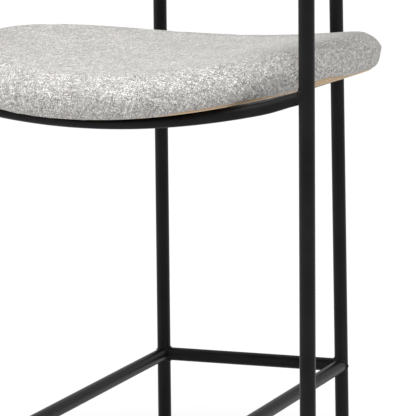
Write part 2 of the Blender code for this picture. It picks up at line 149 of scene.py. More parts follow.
class Wire:
    """A shader value that takes part in ordinary arithmetic."""

    def __init__(self, maker, socket):
        self.maker = maker
        self.socket = socket

    def math(self, operation, *values):
        sockets = dict(enumerate((self, *values)))
        return self.maker.node("ShaderNodeMath", {"operation": operation}, sockets)

    def __add__(self, other):
        return self.math("ADD", other)

    __radd__ = __add__

    def __sub__(self, other):
        return self.math("SUBTRACT", other)

    def __rsub__(self, other):
        sockets = {0: other, 1: self}
        return self.maker.node("ShaderNodeMath", {"operation": "SUBTRACT"}, sockets)

    def __mul__(self, other):
        return self.math("MULTIPLY", other)

    __rmul__ = __mul__

    def __truediv__(self, other):
        return self.math("DIVIDE", other)

    def __gt__(self, other):
        return self.math("GREATER_THAN", other)


class Maker:
    """Adds nodes to one tree."""

    def __init__(self, tree):
        self.tree = tree

    def node(self, kind, settings=None, sockets=None, output=0):
        made = self.tree.nodes.new(kind)
        for name, value in (settings or {}).items():
            if name == "stops":
                ramp = made.color_ramp
                while len(ramp.elements) < len(value):
                    ramp.elements.new(0.5)
                for element, (place, colour) in zip(ramp.elements, value):
                    element.position = place
                    element.color = (*colour, 1.0)
            else:
                setattr(made, name, value)
        for name, value in (sockets or {}).items():
            self.put(made.inputs[name], value)
        return Wire(self, made.outputs[output])

    def put(self, socket, value):
        if isinstance(value, Wire):
            self.tree.links.new(value.socket, socket)
        elif isinstance(value, (tuple, list)) and len(value) == 3 and socket.type == "RGBA":
            socket.default_value = (*value, 1.0)
        else:
            socket.default_value = value

    def coordinates(self, which="Object"):
        order = ("Generated", "Normal", "UV", "Object")
        return self.node("ShaderNodeTexCoord", output=order.index(which))

    def split(self, vector):
        made = self.node("ShaderNodeSeparateXYZ", sockets={0: vector}).socket.node
        return [Wire(self, socket) for socket in made.outputs]

    def joined(self, x, y, z=0.0):
        return self.node("ShaderNodeCombineXYZ", sockets={0: x, 1: y, 2: z})

    def noise(self, vector, scale, detail=2.0, roughness=0.5):
        sockets = {"Vector": vector, "Scale": scale, "Detail": detail, "Roughness": roughness}
        return self.node("ShaderNodeTexNoise", sockets=sockets)

    def chance(self, vector):
        return self.node("ShaderNodeTexWhiteNoise", {"noise_dimensions": "3D"}, {"Vector": vector})

    def between(self, value, low, high, to_low=0.0, to_high=1.0):
        sockets = {0: value, 1: low, 2: high, 3: to_low, 4: to_high}
        return self.node("ShaderNodeMapRange", {"clamp": True}, sockets)

    def mix(self, share, first, second):
        made = self.tree.nodes.new("ShaderNodeMix")
        made.data_type = "RGBA"
        self.put(made.inputs[0], share)
        self.put(made.inputs[6], first)
        self.put(made.inputs[7], second)
        return Wire(self, made.outputs[2])

    def bump(self, height, distance, strength=1.0):
        sockets = {"Height": height, "Distance": distance, "Strength": strength}
        return self.node("ShaderNodeBump", sockets=sockets)


def finish_material(name, paint):
    """A Principled material whose sockets are filled from what paint(maker) returns."""
    made = bpy.data.materials.new(name)
    made.use_nodes = True
    tree = made.node_tree
    shader = tree.nodes["Principled BSDF"]
    maker = Maker(tree)
    for socket, value in paint(maker).items():
        maker.put(shader.inputs[socket], value)
    return made


def powder_coat(maker):
    """Black powder coat with a fine orange peel."""
    settings = bpy.context.scene.stool_frame
    where = maker.coordinates()
    peel = maker.noise(where, 620.0, 3.0, 0.55)
    cloud = maker.noise(where, 24.0, 3.0)
    grit = maker.between(maker.noise(where, 2300.0, 1.0), 0.62, 0.72)
    colour = tuple(settings.coat)
    paler = tuple(2.1 * part for part in colour)
    return {
        "Base Color": maker.mix(maker.between(cloud, 0.3, 0.7), colour, paler),
        "Roughness": settings.gloss + 0.09 * cloud + 0.10 * grit,
        "Normal": maker.bump(peel + 0.35 * grit, 0.00011, 0.55),
        "Specular IOR Level": 0.12,
    }


def yarn(maker, pitch, along, across, seed):
    """(fleck tone 0 to 1, thread height 0 to 1, slub) of threads that run along one way."""
    row = (across / pitch).math("FLOOR")
    slide = maker.chance(maker.joined(row, seed, 3.0)) * 9.0
    cell = (along / (pitch * 2.0) + slide).math("FLOOR")
    long_cell = (along / (pitch * 15.0) + slide).math("FLOOR")
    fleck = maker.chance(maker.joined(cell, row, seed))
    streak = maker.chance(maker.joined(long_cell, row, seed + 5.0))
    tone = fleck * 0.76 + streak * 0.24
    part = (across / pitch).math("FRACT")
    round_part = (part * math.pi).math("SINE")
    slub_row = maker.chance(maker.joined(row, seed, 17.0)) > 0.90
    slub_part = maker.noise(maker.joined(along, row, seed), 34.0, 1.0) > 0.52
    return tone, round_part, slub_row * slub_part


def cover_cloth(maker):
    """Two-way woven cloth of mixed yarns, on UVs in metres, with painted shade between the threads.
    """
    settings = bpy.context.scene.stool_cloth
    pitch = settings.thread
    uv = maker.coordinates("UV")
    sway = maker.noise(uv, 38.0, 2.0)
    u, v, _ = maker.split(uv)
    u = u + (sway - 0.5) * 0.0010
    v = v + (sway - 0.5) * 0.0008
    warp_tone, warp_round, warp_slub = yarn(maker, pitch, v, u, 1.0)
    weft_tone, weft_round, weft_slub = yarn(maker, pitch, u, v, 2.0)
    across = (u / pitch).math("FLOOR") + (v / pitch).math("FLOOR")
    over = (across / 2.0).math("FRACT") > 0.25
    tone = warp_tone * over + weft_tone * (1.0 - over)
    slub = warp_slub.math("MAXIMUM", weft_slub)
    height = (0.35 + 0.65 * warp_round) * (0.55 + 0.45 * weft_round) * over
    height = height + (0.35 + 0.65 * weft_round) * (0.55 + 0.45 * warp_round) * (1.0 - over)
    cloud = maker.noise(uv, 14.0, 3.0)
    fuzz = maker.noise(uv, 2600.0, 2.0)
    tone = tone * 0.86 + cloud * 0.14 + slub * 0.14
    stops = [
        (0.10, tuple(settings.dark)),
        (0.30, tuple(0.8 * part for part in settings.middle)),
        (0.62, tuple(1.15 * part for part in settings.middle)),
        (0.88, tuple(settings.light)),
    ]
    ramp = maker.node("ShaderNodeValToRGB", {"stops": stops}, {"Fac": tone})
    # Painted shade: the yarn colour is darkened where the thread height is low, between and under
    # the crossing threads
    painted_thread_shade = maker.between(height, 0.15, 0.8, 0.66, 1.0)
    sockets = {0: ramp, "Scale": painted_thread_shade}
    return {
        "Base Color": maker.node("ShaderNodeVectorMath", {"operation": "SCALE"}, sockets),
        "Roughness": 0.93,
        "Normal": maker.bump(height + 0.25 * fuzz + 0.5 * slub, 0.00042, 0.9),
        "Sheen Weight": 0.12,
        "Sheen Roughness": 0.5,
        "Specular IOR Level": 0.25,
    }


def birch(maker, depth_at):
    """Raw birch plies and grain. depth_at gives the depth at x, y, z in board thicknesses."""
    where = maker.coordinates()
    x, y, z = maker.split(where)
    depth = depth_at(x, y, z)
    ply = (depth * 7.0).math("FRACT")
    dark_ply = maker.between(ply.math("PINGPONG", 0.5), 0.0, 0.12, 1.0, 0.0)
    turn = (depth * 3.5).math("FRACT") > 0.5
    grain = maker.noise(maker.joined(x * 2.0, y * 0.08, z * 9.0), 260.0, 4.0, 0.6)
    end_grain = maker.noise(where, 900.0, 2.0)
    tone = grain * 0.6 + end_grain * 0.4 - turn * 0.10 - dark_ply * 0.22
    stops = [(0.2, (0.30, 0.19, 0.10)), (0.45, (0.60, 0.44, 0.28)), (0.75, (0.76, 0.61, 0.43))]
    return {
        "Base Color": maker.node("ShaderNodeValToRGB", {"stops": stops}, {"Fac": tone}),
        "Roughness": 0.62 + 0.2 * end_grain,
        "Normal": maker.bump(grain - 0.5 * dark_ply, 0.0002, 0.6),
    }


def plywood(maker):
    """The dished seat board, whose plies follow the dish."""
    seat = bpy.context.scene.stool_seat
    base = seat_base() - seat.tilt * seat_middle()
    curve = 2.0 * seat.dish
    return birch(maker, lambda x, y, z: (z - x * x / curve - y * seat.tilt - base) / BOARD_T)


def bent_plywood(maker):
    """The bent back board."""
    return birch(maker, lambda x, y, z: z * 90.0)


def liner_cloth(maker):
    where = maker.coordinates()
    fibres = maker.noise(where, 1500.0, 4.0, 0.7)
    dots = maker.node("ShaderNodeTexVoronoi", {}, {"Vector": where, "Scale": 420.0})
    share = maker.between(fibres, 0.35, 0.7)
    return {
        "Base Color": maker.mix(share, (0.007, 0.007, 0.007), (0.03, 0.03, 0.031)),
        "Roughness": 0.85 + 0.1 * fibres,
        "Normal": maker.bump(fibres - 0.6 * dots, 0.0002, 0.8),
    }


def moulded_plastic(maker):
    where = maker.coordinates()
    grain = maker.noise(where, 1400.0, 2.0)
    scuff = maker.between(maker.noise(where, 120.0, 5.0, 0.7), 0.58, 0.75)
    return {
        "Base Color": maker.mix(scuff, (0.018, 0.018, 0.019), (0.06, 0.06, 0.062)),
        "Roughness": 0.48 + 0.2 * scuff,
        "Normal": maker.bump(grain, 0.00008, 0.5),
    }


def zinc_plate(maker):
    where = maker.coordinates()
    cloud = maker.noise(where, 300.0, 3.0)
    lines = maker.noise(where, 2600.0, 1.0)
    share = maker.between(cloud, 0.3, 0.7)
    return {
        "Base Color": maker.mix(share, (0.52, 0.53, 0.50), (0.68, 0.67, 0.60)),
        "Metallic": 1.0,
        "Roughness": 0.26 + 0.22 * lines,
        "Normal": maker.bump(lines, 0.00004, 0.4),
    }


FINISHES = {
    "powder_coat": powder_coat,
    "seat_cloth": cover_cloth,
    "back_cloth": cover_cloth,
    "plywood": plywood,
    "bent_plywood": bent_plywood,
    "liner_cloth": liner_cloth,
    "moulded_plastic": moulded_plastic,
    "zinc_plate": zinc_plate,
}


@functools.cache
def material(name):
    return finish_material(name, FINISHES[name])


# Meshes


def add_object(name, data):
    obj = bpy.data.objects.new(name, data)
    bpy.context.scene.collection.objects.link(obj)
    return obj


def finish_mesh(mesh, finish):
    mesh.materials.append(material(finish))
    mesh.polygons.foreach_set("use_smooth", [True] * len(mesh.polygons))
    return mesh


def repaint(obj, finish):
    obj.data.materials.clear()
    obj.data.materials.append(material(finish))


def new_object(name, points, faces, finish, uvs=None):
    """A mesh object at the origin. uvs is one pair for each point."""
    mesh = bpy.data.meshes.new(name)
    mesh.from_pydata([tuple(point) for point in points], [], faces)
    if uvs is not None:
        layer = mesh.uv_layers.new(name="cloth")
        for loop in mesh.loops:
            layer.data[loop.index].uv = uvs[loop.vertex_index]
    return add_object(name, finish_mesh(mesh, finish))


def outwards(obj):
    shape = bmesh.new()
    shape.from_mesh(obj.data)
    bmesh.ops.recalc_face_normals(shape, faces=shape.faces)
    shape.to_mesh(obj.data)
    shape.free()


def place(obj, nodes, slot=None):
    """The finished piece rides on the stool and stands for its CAD nodes."""
    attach(obj, BODY)
    nodes = [nodes] if isinstance(nodes, str) else list(nodes)
    if nodes:
        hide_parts(*nodes)


def settle(obj, steps=()):
    """Adds modifiers, and bakes them into the mesh."""
    for kind, values in steps:
        step = obj.modifiers.new(kind.lower(), kind)
        for name, value in values.items():
            setattr(step, name, value)
    graph = bpy.context.evaluated_depsgraph_get()
    mesh = bpy.data.meshes.new_from_object(obj.evaluated_get(graph), depsgraph=graph)
    obj.modifiers.clear()
    obj.data = mesh


def grid_faces(rows, columns, closed=True, first=0):
    faces = []
    for row in range(rows - 1):
        for column in range(columns if closed else columns - 1):
            after = (column + 1) % columns
            low, high = first + row * columns, first + (row + 1) * columns
            faces.append((low + column, low + after, high + after, high + column))
    return faces


def closed_ends(rows, sides):
    """Faces of a tube of rings, with a flat face at each end."""
    count = rows * sides
    return grid_faces(rows, sides) + [tuple(range(sides)), tuple(range(count - sides, count))]


def circle(centre, side, rise, radius, sides):
    """Points round a centre, in the plane of side and rise."""
    turns = [2.0 * math.pi * step / sides for step in range(sides)]
    return [centre + radius * (math.cos(turn) * side + math.sin(turn) * rise) for turn in turns]


def tube_data(path, radius, sides=40, round_ends=0.0):
    """(points, faces) of a tube along a path, with its ends closed and slightly rounded."""
    path = [Vector(point) for point in path]
    stations = []
    for index, point in enumerate(path):
        before, after = path[max(index - 1, 0)], path[min(index + 1, len(path) - 1)]
        stations.append((point, (after - before).normalized(), radius))
    if round_ends > 0.0:
        (first, start, _), (last, finish, _) = stations[0], stations[-1]
        narrow = radius - round_ends
        head = [(first, start, narrow), (first + start * round_ends, start, radius)]
        tail = [(last - finish * round_ends, finish, radius), (last, finish, narrow)]
        stations = head + stations[1:-1] + tail
    points = []
    for point, along, reach in stations:
        level = UP if abs(along.z) < 0.9 else Vector((0.0, 1.0, 0.0))
        side = along.cross(level).normalized()
        points += circle(point, side, side.cross(along), reach, sides)
    return points, closed_ends(len(stations), sides)


def solid_of(name, points, faces, finish, degrees=40.0):
    """An object with its faces outwards and its edges sharp past an angle."""
    obj = new_object(name, points, faces, finish)
    outwards(obj)
    obj.data.set_sharp_from_angle(angle=math.radians(degrees))
    return obj


def tube(name, path, radius, sides=40, round_ends=0.0006):
    return solid_of(name, *tube_data(path, radius, sides, round_ends), "powder_coat")


def turned(name, profile, at, finish, sides=40):
    """A shape turned about an upright axis from (radius, height) pairs."""
    points = []
    for radius, height in profile:
        centre = Vector((at[0], at[1], height))
        points += circle(centre, Vector((1.0, 0.0, 0.0)), Vector((0.0, 1.0, 0.0)), radius, sides)
    return solid_of(name, points, closed_ends(len(profile), sides), finish, 35.0)


# Where the CAD pieces are


@functools.cache
def corners(node):
    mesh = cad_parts[node].data
    flat = np.empty(len(mesh.vertices) * 3)
    mesh.vertices.foreach_get("co", flat)
    return flat.reshape(-1, 3)


# Length of the end slice that gives a bar's middle and width
END_SLICE = 0.014


def bar_line(node):
    """(start, finish, radius) of a straight bar, from the slices at its ends."""
    points = corners(node)
    low, high = points.min(axis=0), points.max(axis=0)
    along = int(np.argmax(high - low))
    ends = []
    for limit in (low[along], high[along]):
        part = points[np.abs(points[:, along] - limit) < END_SLICE]
        middle = (part.min(axis=0) + part.max(axis=0)) / 2.0
        middle[along] = limit
        ends.append(Vector(middle))
    spans = np.delete(part.max(axis=0) - part.min(axis=0), along)
    return ends[0], ends[1], float(spans.max()) / 2.0


HOOP_TUBE_RADIUS = 0.0100


@functools.cache
def hoop_shape():
    """(centre, ring radius, tube radius, start angle) of the top hoop."""
    points = corners("top_hoop")
    low, high = points.min(axis=0).tolist(), points.max(axis=0).tolist()
    ring = (high[0] - low[0]) / 2.0 - HOOP_TUBE_RADIUS
    centre = Vector((0.0, high[1] - HOOP_TUBE_RADIUS - ring, (low[2] + high[2]) / 2.0))
    right = points[points[:, 0] > 0.0]
    start = np.arctan2(right[:, 1] - centre.y, right[:, 0]).min()
    return centre, float(ring), HOOP_TUBE_RADIUS, float(start)


@functools.cache
def seat_middle():
    low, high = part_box("seat_pad")
    return low[1] + bpy.context.scene.stool_seat.front_share * (high[1] - low[1])


@functools.cache
def seat_base():
    """Height of the board's underside at the middle of the seat."""
    seat = bpy.context.scene.stool_seat
    low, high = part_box("seat_pad")
    rear = high[1] - seat_middle()
    return low[2] - seat.lip - seat.tilt * (rear - seat.bottom_roll)


def dish_height(x, y, above=0.0):
    seat = bpy.context.scene.stool_seat
    return seat_base() + above + x * x / (2.0 * seat.dish) + seat.tilt * (y - seat_middle())


def seat_outline(inset, count):
    """(plan points, outward normals) of the seat's outline drawn in by inset."""
    seat = bpy.context.scene.stool_seat
    low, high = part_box("seat_pad")
    half = (high[0] - low[0]) / 2.0
    front = (high[1] - low[1]) * seat.front_share
    rear = (high[1] - low[1]) - front
    angle = 2.0 * np.pi * np.arange(count) / count
    across, along = np.cos(angle), np.sin(angle)
    power = 2.0 / seat.roundness
    depth = np.where(along > 0.0, rear, front) - inset
    x = (half - inset) * np.sign(across) * np.abs(across) ** power
    y = depth * np.sign(along) * np.abs(along) ** power
    nx = np.sign(x) * np.abs(x / (half - inset)) ** (seat.roundness - 1.0) / (half - inset)
    ny = np.sign(y) * np.abs(y / depth) ** (seat.roundness - 1.0) / depth
    size = np.hypot(nx, ny)
    return np.stack([x, y + seat_middle()], 1), np.stack([nx / size, ny / size], 1)


# Frame


def post_centre(node, z):
    start, finish, _ = bar_line(node)
    return start.lerp(finish, (z - start.z) / (finish.z - start.z))


RAIL_RADIUS = 0.0080
# The front rail rises this much, over this reach, to meet its posts
RAIL_END_LIFT = 0.0028
RAIL_LIFT_REACH = 0.040


def rail_path(row, count=48):
    """(centre line, radius) of the front or rear sagging seat rail between its two posts."""
    points = corners(f"{row}_seat_rail")
    middle = points[np.abs(points[:, 0]) < 0.012]
    mid_y, mid_z = (float(v) for v in (middle.min(axis=0) + middle.max(axis=0))[1:] / 2.0)
    outer = points[points[:, 0] > points[:, 0].max() - 0.022]
    end_x, _, end_z = (float(v) for v in (outer.min(axis=0) + outer.max(axis=0)) / 2.0)
    rise = (end_z - mid_z) / end_x**2
    post = post_centre(f"{row}_post_right", end_z)
    path = []
    for step in range(count + 1):
        x = post.x * (2.0 * step / count - 1.0)
        y = mid_y + (post.y - mid_y) * (x / post.x) ** 2
        near = min(1.0, max(0.0, (abs(x) - end_x + RAIL_LIFT_REACH) / RAIL_LIFT_REACH))
        lift = RAIL_END_LIFT * near * near * (3.0 - 2.0 * near) if row == "front" else 0.0
        path.append(Vector((x, y, mid_z + rise * x * x + lift)))
    return path, RAIL_RADIUS


def hoop_path(count=120):
    centre, ring, _, start = hoop_shape()
    sweep = math.pi - 2.0 * start
    angles = [start + sweep * step / count for step in range(count + 1)]
    return [centre + ring * Vector((math.cos(a), math.sin(a), 0.0)) for a in angles]


STRAIGHT_BARS = (
    "front_footrest",
    "rear_stretcher",
    "side_stretcher_left",
    "side_stretcher_right",
    "side_seat_rail_left",
    "side_seat_rail_right",
)
POSTS = ("front_post_left", "front_post_right", "rear_post_left", "rear_post_right")


class STOOL_OT_frame(bpy.types.Operator):
    """Make the posts, stretchers, seat rails and top hoop as smooth tubes"""

    bl_idname = "stool.frame"
    bl_label = "Frame tubes"

    def execute(self, context):
        for node in POSTS:
            start, finish, radius = bar_line(node)
            place(tube(f"tube_{node}", [start, finish], radius, round_ends=0.001), node)
        for node in STRAIGHT_BARS:
            start, finish, radius = bar_line(node)
            stretch = (finish - start).normalized() * radius * 0.25
            place(tube(f"tube_{node}", [start - stretch, finish + stretch], radius), node)
        for row in ("front", "rear"):
            path, radius = rail_path(row)
            place(tube(f"tube_{row}_seat_rail", path, radius), f"{row}_seat_rail")
        _, _, radius, _ = hoop_shape()
        place(tube("tube_top_hoop", hoop_path(), radius, sides=48), "top_hoop")
        return {"FINISHED"}


def saddle(branch, inwards, branch_r, target, along, target_r, count=72):
    """Closed line where a branch tube's wall meets the wall of the tube it is welded to."""
    inwards, along = inwards.normalized(), along.normalized()
    side = inwards.cross(along).normalized()
    way = inwards - inwards.dot(along) * along
    line = []
    for start in circle(branch, side, inwards.cross(side), branch_r, count):
        gap = start - target
        gap = gap - gap.dot(along) * along
        a, b, c = way.dot(way), 2.0 * gap.dot(way), gap.dot(gap) - target_r**2
        root = math.sqrt(max(b * b - 4.0 * a * c, 0.0))
        line.append(start + inwards * ((-b - root) / (2.0 * a)))
    return line


FLARE_STEPS = 12
FLARE_SIDES = 40


def flare(name, end, way, radius, post_r, reach):
    """The smooth dressed weld that widens a rail where it meets a post."""
    side = way.cross(UP).normalized()
    rise = side.cross(way)
    points = []
    for step in range(FLARE_STEPS + 2):
        gap = reach * (1.0 - step / FLARE_STEPS) if step <= FLARE_STEPS else -0.004
        away = min(1.0, max(0.0, gap / reach))
        grown = reach * (1.0 - math.sqrt(1.0 - (1.0 - away) ** 2)) if away < 1.0 else -0.0002
        centre = end - way * (post_r * 0.80 + gap)
        wide = radius + min(grown, 0.0012)
        points += circle(centre, side * wide, rise * (radius + grown), 1.0, FLARE_SIDES)
    faces = closed_ends(FLARE_STEPS + 2, FLARE_SIDES)
    place(solid_of(name, points, faces, "powder_coat"), [], "front_seat_rail")


def weld_to_post(post, at_z, way, radius, back_off):
    """Line of the weld of a bar that meets a post along way."""
    start, finish, post_r = bar_line(post)
    centre = post_centre(post, at_z)
    return saddle(centre - way * back_off, way, radius, centre, finish - start, post_r)


def side_welds(side):
    """Lines of the welds at both ends of the side stretcher and the side seat rail."""
    lines = []
    back = Vector((0.0, 1.0, 0.0))
    for kind, front in (("stretcher", "front_footrest"), ("seat_rail", "front_seat_rail")):
        start, finish, radius = bar_line(f"side_{kind}_{side}")
        lines.append(weld_to_post(f"rear_post_{side}", finish.z, back, radius, 0.05))
        if kind == "stretcher":
            bar, _, bar_r = bar_line(front)
            target = Vector((start.x, bar.y, bar.z))
            along, reach = Vector((1.0, 0.0, 0.0)), radius
        else:
            path, bar_r = rail_path("front")
            nearest = min(range(1, len(path) - 1), key=lambda i: abs(path[i].x - start.x))
            along = path[nearest + 1] - path[nearest - 1]
            target = path[nearest] + along * ((start.x - path[nearest].x) / along.x)
            reach = radius * 0.78
        near = Vector((start.x, target.y + 0.05, start.z))
        lines.append(saddle(near, -back, reach, target, along, bar_r))
    return lines


def weld_lines():
    """(rail ends dressed smooth, closed lines of the plain welds)."""
    dressed, plain = [], []
    for side, sign in (("left", -1.0), ("right", 1.0)):
        for row, level in (("front", "front_footrest"), ("rear", "rear_stretcher")):
            start, _, radius = bar_line(level)
            way = Vector((sign, 0.0, 0.0))
            plain.append(weld_to_post(f"{row}_post_{side}", start.z, way, radius, 0.06))
        plain += side_welds(side)
        for row in ("front", "rear"):
            post = f"{row}_post_{side}"
            post_a, post_b, post_r = bar_line(post)
            path, radius = rail_path(row)
            end, before = (path[-1], path[-2]) if side == "right" else (path[0], path[1])
            way = (end - before).normalized()
            if row == "front":
                dressed.append((f"rail_flare_{side}", end, way, radius, post_r))
            else:
                centre = post_centre(post, end.z)
                line = saddle(end - way * 0.05, way, radius, centre, post_b - post_a, post_r)
                plain.append(line)
            centre, _, hoop_r, _ = hoop_shape()
            top = post_centre(post, centre.z)
            round_hoop = UP.cross(top - centre)
            plain.append(saddle(top - UP * 0.05, UP, post_r, top, round_hoop, hoop_r))
    return dressed, plain


def new_tree(name, inputs):
    """(maker, input wires, tree) of geometry nodes with named inputs."""
    tree = bpy.data.node_groups.new(name, "GeometryNodeTree")
    for label, kind in (("Geometry", "Geometry"), *inputs):
        tree.interface.new_socket(label, in_out="INPUT", socket_type=f"NodeSocket{kind}")
    tree.interface.new_socket("Geometry", in_out="OUTPUT", socket_type="NodeSocketGeometry")
    maker = Maker(tree)
    given = tree.nodes.new("NodeGroupInput")
    wires = {socket.name: Wire(maker, socket) for socket in given.outputs if socket.name}
    return maker, wires, tree


def place_copies(maker, wires, points, shape, turn, scale):
    """Sets the shape on the points, makes it real and gives it its finish."""
    sockets = {"Points": points, "Instance": shape, "Rotation": turn, "Scale": scale}
    placed = maker.node("GeometryNodeInstanceOnPoints", sockets=sockets)
    real = maker.node("GeometryNodeRealizeInstances", sockets={"Geometry": placed})
    sockets = {"Geometry": real, "Material": wires["Finish"]}
    done = maker.node("GeometryNodeSetMaterial", sockets=sockets)
    out = maker.tree.nodes.new("NodeGroupOutput")
    maker.tree.links.new(done.socket, out.inputs["Geometry"])


def bead_tree(name):
    """Geometry nodes that lay a row of uneven beads along each line of a wire mesh."""
    inputs = [(label, "Float") for label in ("Bead radius", "Pitch", "Smallest", "Largest")]
    maker, wires, tree = new_tree(name, [*inputs, ("Seed", "Int"), ("Finish", "Material")])
    curve = maker.node("GeometryNodeMeshToCurve", sockets={"Mesh": wires["Geometry"]})
    sockets = {"Curve": curve, "Length": wires["Pitch"]}
    spaced = maker.node("GeometryNodeResampleCurve", {"mode": "LENGTH"}, sockets)
    sockets = {"Radius": wires["Bead radius"], "Subdivisions": 2}
    ball = maker.node("GeometryNodeMeshIcoSphere", sockets=sockets)
    tangent = maker.node("GeometryNodeInputTangent")
    turn = maker.node("FunctionNodeAlignRotationToVector", {"axis": "Z"}, {"Vector": tangent})
    chance = tree.nodes.new("FunctionNodeRandomValue")
    chance.data_type = "FLOAT"
    maker.put(chance.inputs[2], wires["Smallest"])
    maker.put(chance.inputs[3], wires["Largest"])
    maker.put(chance.inputs["Seed"], wires["Seed"])
    size = Wire(maker, chance.outputs[1])
    place_copies(maker, wires, spaced, ball, turn, maker.joined(size, size, size * 0.8))
    return tree


def fill_inputs(step, values):
    for item in step.node_group.interface.items_tree:
        if item.in_out == "INPUT" and item.name in values:
            step[item.identifier] = values[item.name]


def wire_object(name, lines):
    """A mesh of closed lines."""
    points, edges = [], []
    for line in lines:
        first = len(points)
        points.extend(tuple(point) for point in line)
        edges.extend((first + i, first + i + 1) for i in range(len(line) - 1))
        edges.append((len(points) - 1, first))
    mesh = bpy.data.meshes.new(name)
    mesh.from_pydata(points, edges, [])
    return add_object(name, mesh)


def beads(name, lines, radius, pitch, spread, seed, voxel, smoothing):
    obj = wire_object(name, lines)
    step = obj.modifiers.new("beads", "NODES")
    step.node_group = bead_tree(name)
    values = {
        "Bead radius": radius,
        "Pitch": pitch,
        "Smallest": 1.0 - spread,
        "Largest": 1.0 + spread,
        "Seed": seed,
        "Finish": material("powder_coat"),
    }
    fill_inputs(step, values)
    settle(obj)
    settle(
        obj,
        [
            ("REMESH", {"mode": "VOXEL", "voxel_size": voxel, "use_smooth_shade": True}),
            ("SMOOTH", {"factor": 0.5, "iterations": smoothing}),
        ],
    )
    repaint(obj, "powder_coat")
    return obj


class STOOL_OT_welds(bpy.types.Operator):
    """Lay the weld beads round every joint of the frame"""

    bl_idname = "stool.welds"
    bl_label = "Welds"

    def execute(self, context):
        settings = context.scene.stool_frame
        dressed, plain = weld_lines()
        for end in dressed:
            flare(*end, settings.fillet)
        lumpy = beads("weld_beads", plain, settings.bead, 0.0021, 0.22, 7, 0.0006, 1)
        place(lumpy, [], "front_seat_rail")
        return {"FINISHED"}


# Feet, plugs, tabs and screws


# (radius as a share of the glide's own, height above the floor)
GLIDE_PROFILE = (
    (0.80, 0.0),
    (0.93, 0.0003),
    (0.99, 0.0012),
    (1.0, 0.0022),
    (1.0, 0.0050),
    (0.96, 0.0056),
    (0.72, 0.0058),
)
# (radius, height above the floor) of the stem inside the post
STEM_PROFILE = ((0.0074, 0.0060), (0.0074, 0.0240), (0.0060, 0.0258))
# (reach past the hoop's end, share of the hoop's radius)
PLUG_PROFILE = ((0.0002, 1.0), (0.0014, 0.98), (0.0023, 0.90), (0.0029, 0.72), (0.0032, 0.35))
PLUG_SIDES = 40


class STOOL_OT_feet(bpy.types.Operator):
    """Make the four moulded glides and the two hoop plugs"""

    bl_idname = "stool.feet"
    bl_label = "Glides and plugs"

    def execute(self, context):
        for row in ("front", "rear"):
            for side in ("left", "right"):
                label = f"{row}_glide_{side}"
                low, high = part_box(label)
                radius = (high[0] - low[0]) / 2.0
                at = ((low[0] + high[0]) / 2.0, (low[1] + high[1]) / 2.0)
                profile = [(radius * share, low[2] + height) for share, height in GLIDE_PROFILE]
                profile += [(reach, low[2] + height) for reach, height in STEM_PROFILE]
                place(turned(f"moulded_{label}", profile, at, "moulded_plastic"), label)
        centre, ring, radius, start = hoop_shape()
        for label, angle, way in (("right", start, -1.0), ("left", math.pi - start, 1.0)):
            end = centre + ring * Vector((math.cos(angle), math.sin(angle), 0.0))
            out = way * Vector((-math.sin(angle), math.cos(angle), 0.0))
            side = out.cross(UP).normalized()
            points = []
            for reach, share in PLUG_PROFILE:
                points += circle(end + out * reach, side, UP, radius * share, PLUG_SIDES)
            faces = closed_ends(len(PLUG_PROFILE), PLUG_SIDES)
            name = f"moulded_plug_{label}"
            place(solid_of(name, points, faces, "moulded_plastic", 50.0), f"hoop_plug_{label}")
        return {"FINISHED"}


SCREW_SIDES = 24
# (radius, height) from the shank's tip to the rim of the recess
SCREW_PROFILE = (
    (0.0018, -0.0100),
    (0.0019, 0.0),
    (0.0042, 0.0),
    (0.0044, 0.0005),
    (0.0043, 0.0011),
    (0.0039, 0.0017),
    (0.0031, 0.0022),
    (0.0016, 0.0025),
)
RECESS_ARM = 0.0024
RECESS_HALF_WIDTH = 0.0005
RECESS_TOP = 0.0025
RECESS_FLOOR = 0.0010
RECESS_TAPER = 0.72


def screw_mesh():
    """One pan head with a cross recess and a short shank, head upwards along +Z."""
    shape = bmesh.new()
    across, over = Vector((1.0, 0.0, 0.0)), Vector((0.0, 1.0, 0.0))
    rows = []
    for radius, height in SCREW_PROFILE:
        ring = circle(Vector((0.0, 0.0, height)), across, over, radius, SCREW_SIDES)
        rows.append([shape.verts.new(point) for point in ring])
    for low, high in zip(rows, rows[1:]):
        for i in range(SCREW_SIDES):
            after = (i + 1) % SCREW_SIDES
            shape.faces.new((low[i], low[after], high[after], high[i]))
    shape.faces.new(rows[0][::-1])
    half, arm = RECESS_HALF_WIDTH, RECESS_ARM
    top = []
    for quarter in range(4):
        turn = Matrix.Rotation(math.pi / 2.0 * quarter, 3, "Z")
        for x, y in ((half, -half), (arm, -half), (arm, half)):
            top.append(turn @ Vector((x, y, RECESS_TOP)))
    rim = [shape.verts.new(point) for point in top]
    pit = [
        shape.verts.new((point.x * RECESS_TAPER, point.y * RECESS_TAPER, RECESS_FLOOR))
        for point in top
    ]
    count = len(rim)
    for i in range(count):
        after = (i + 1) % count
        shape.faces.new((rim[i], rim[after], pit[after], pit[i]))
    shape.faces.new(pit)
    edges = []
    for loop in (rim, rows[-1]):
        edges += [shape.edges.get((loop[i - 1], loop[i])) for i in range(len(loop))]
    bmesh.ops.bridge_loops(shape, edges=edges)
    bmesh.ops.recalc_face_normals(shape, faces=shape.faces)
    mesh = bpy.data.meshes.new("screw")
    shape.to_mesh(mesh)
    shape.free()
    finish_mesh(mesh, "zinc_plate")
    mesh.set_sharp_from_angle(angle=math.radians(35.0))
    return mesh


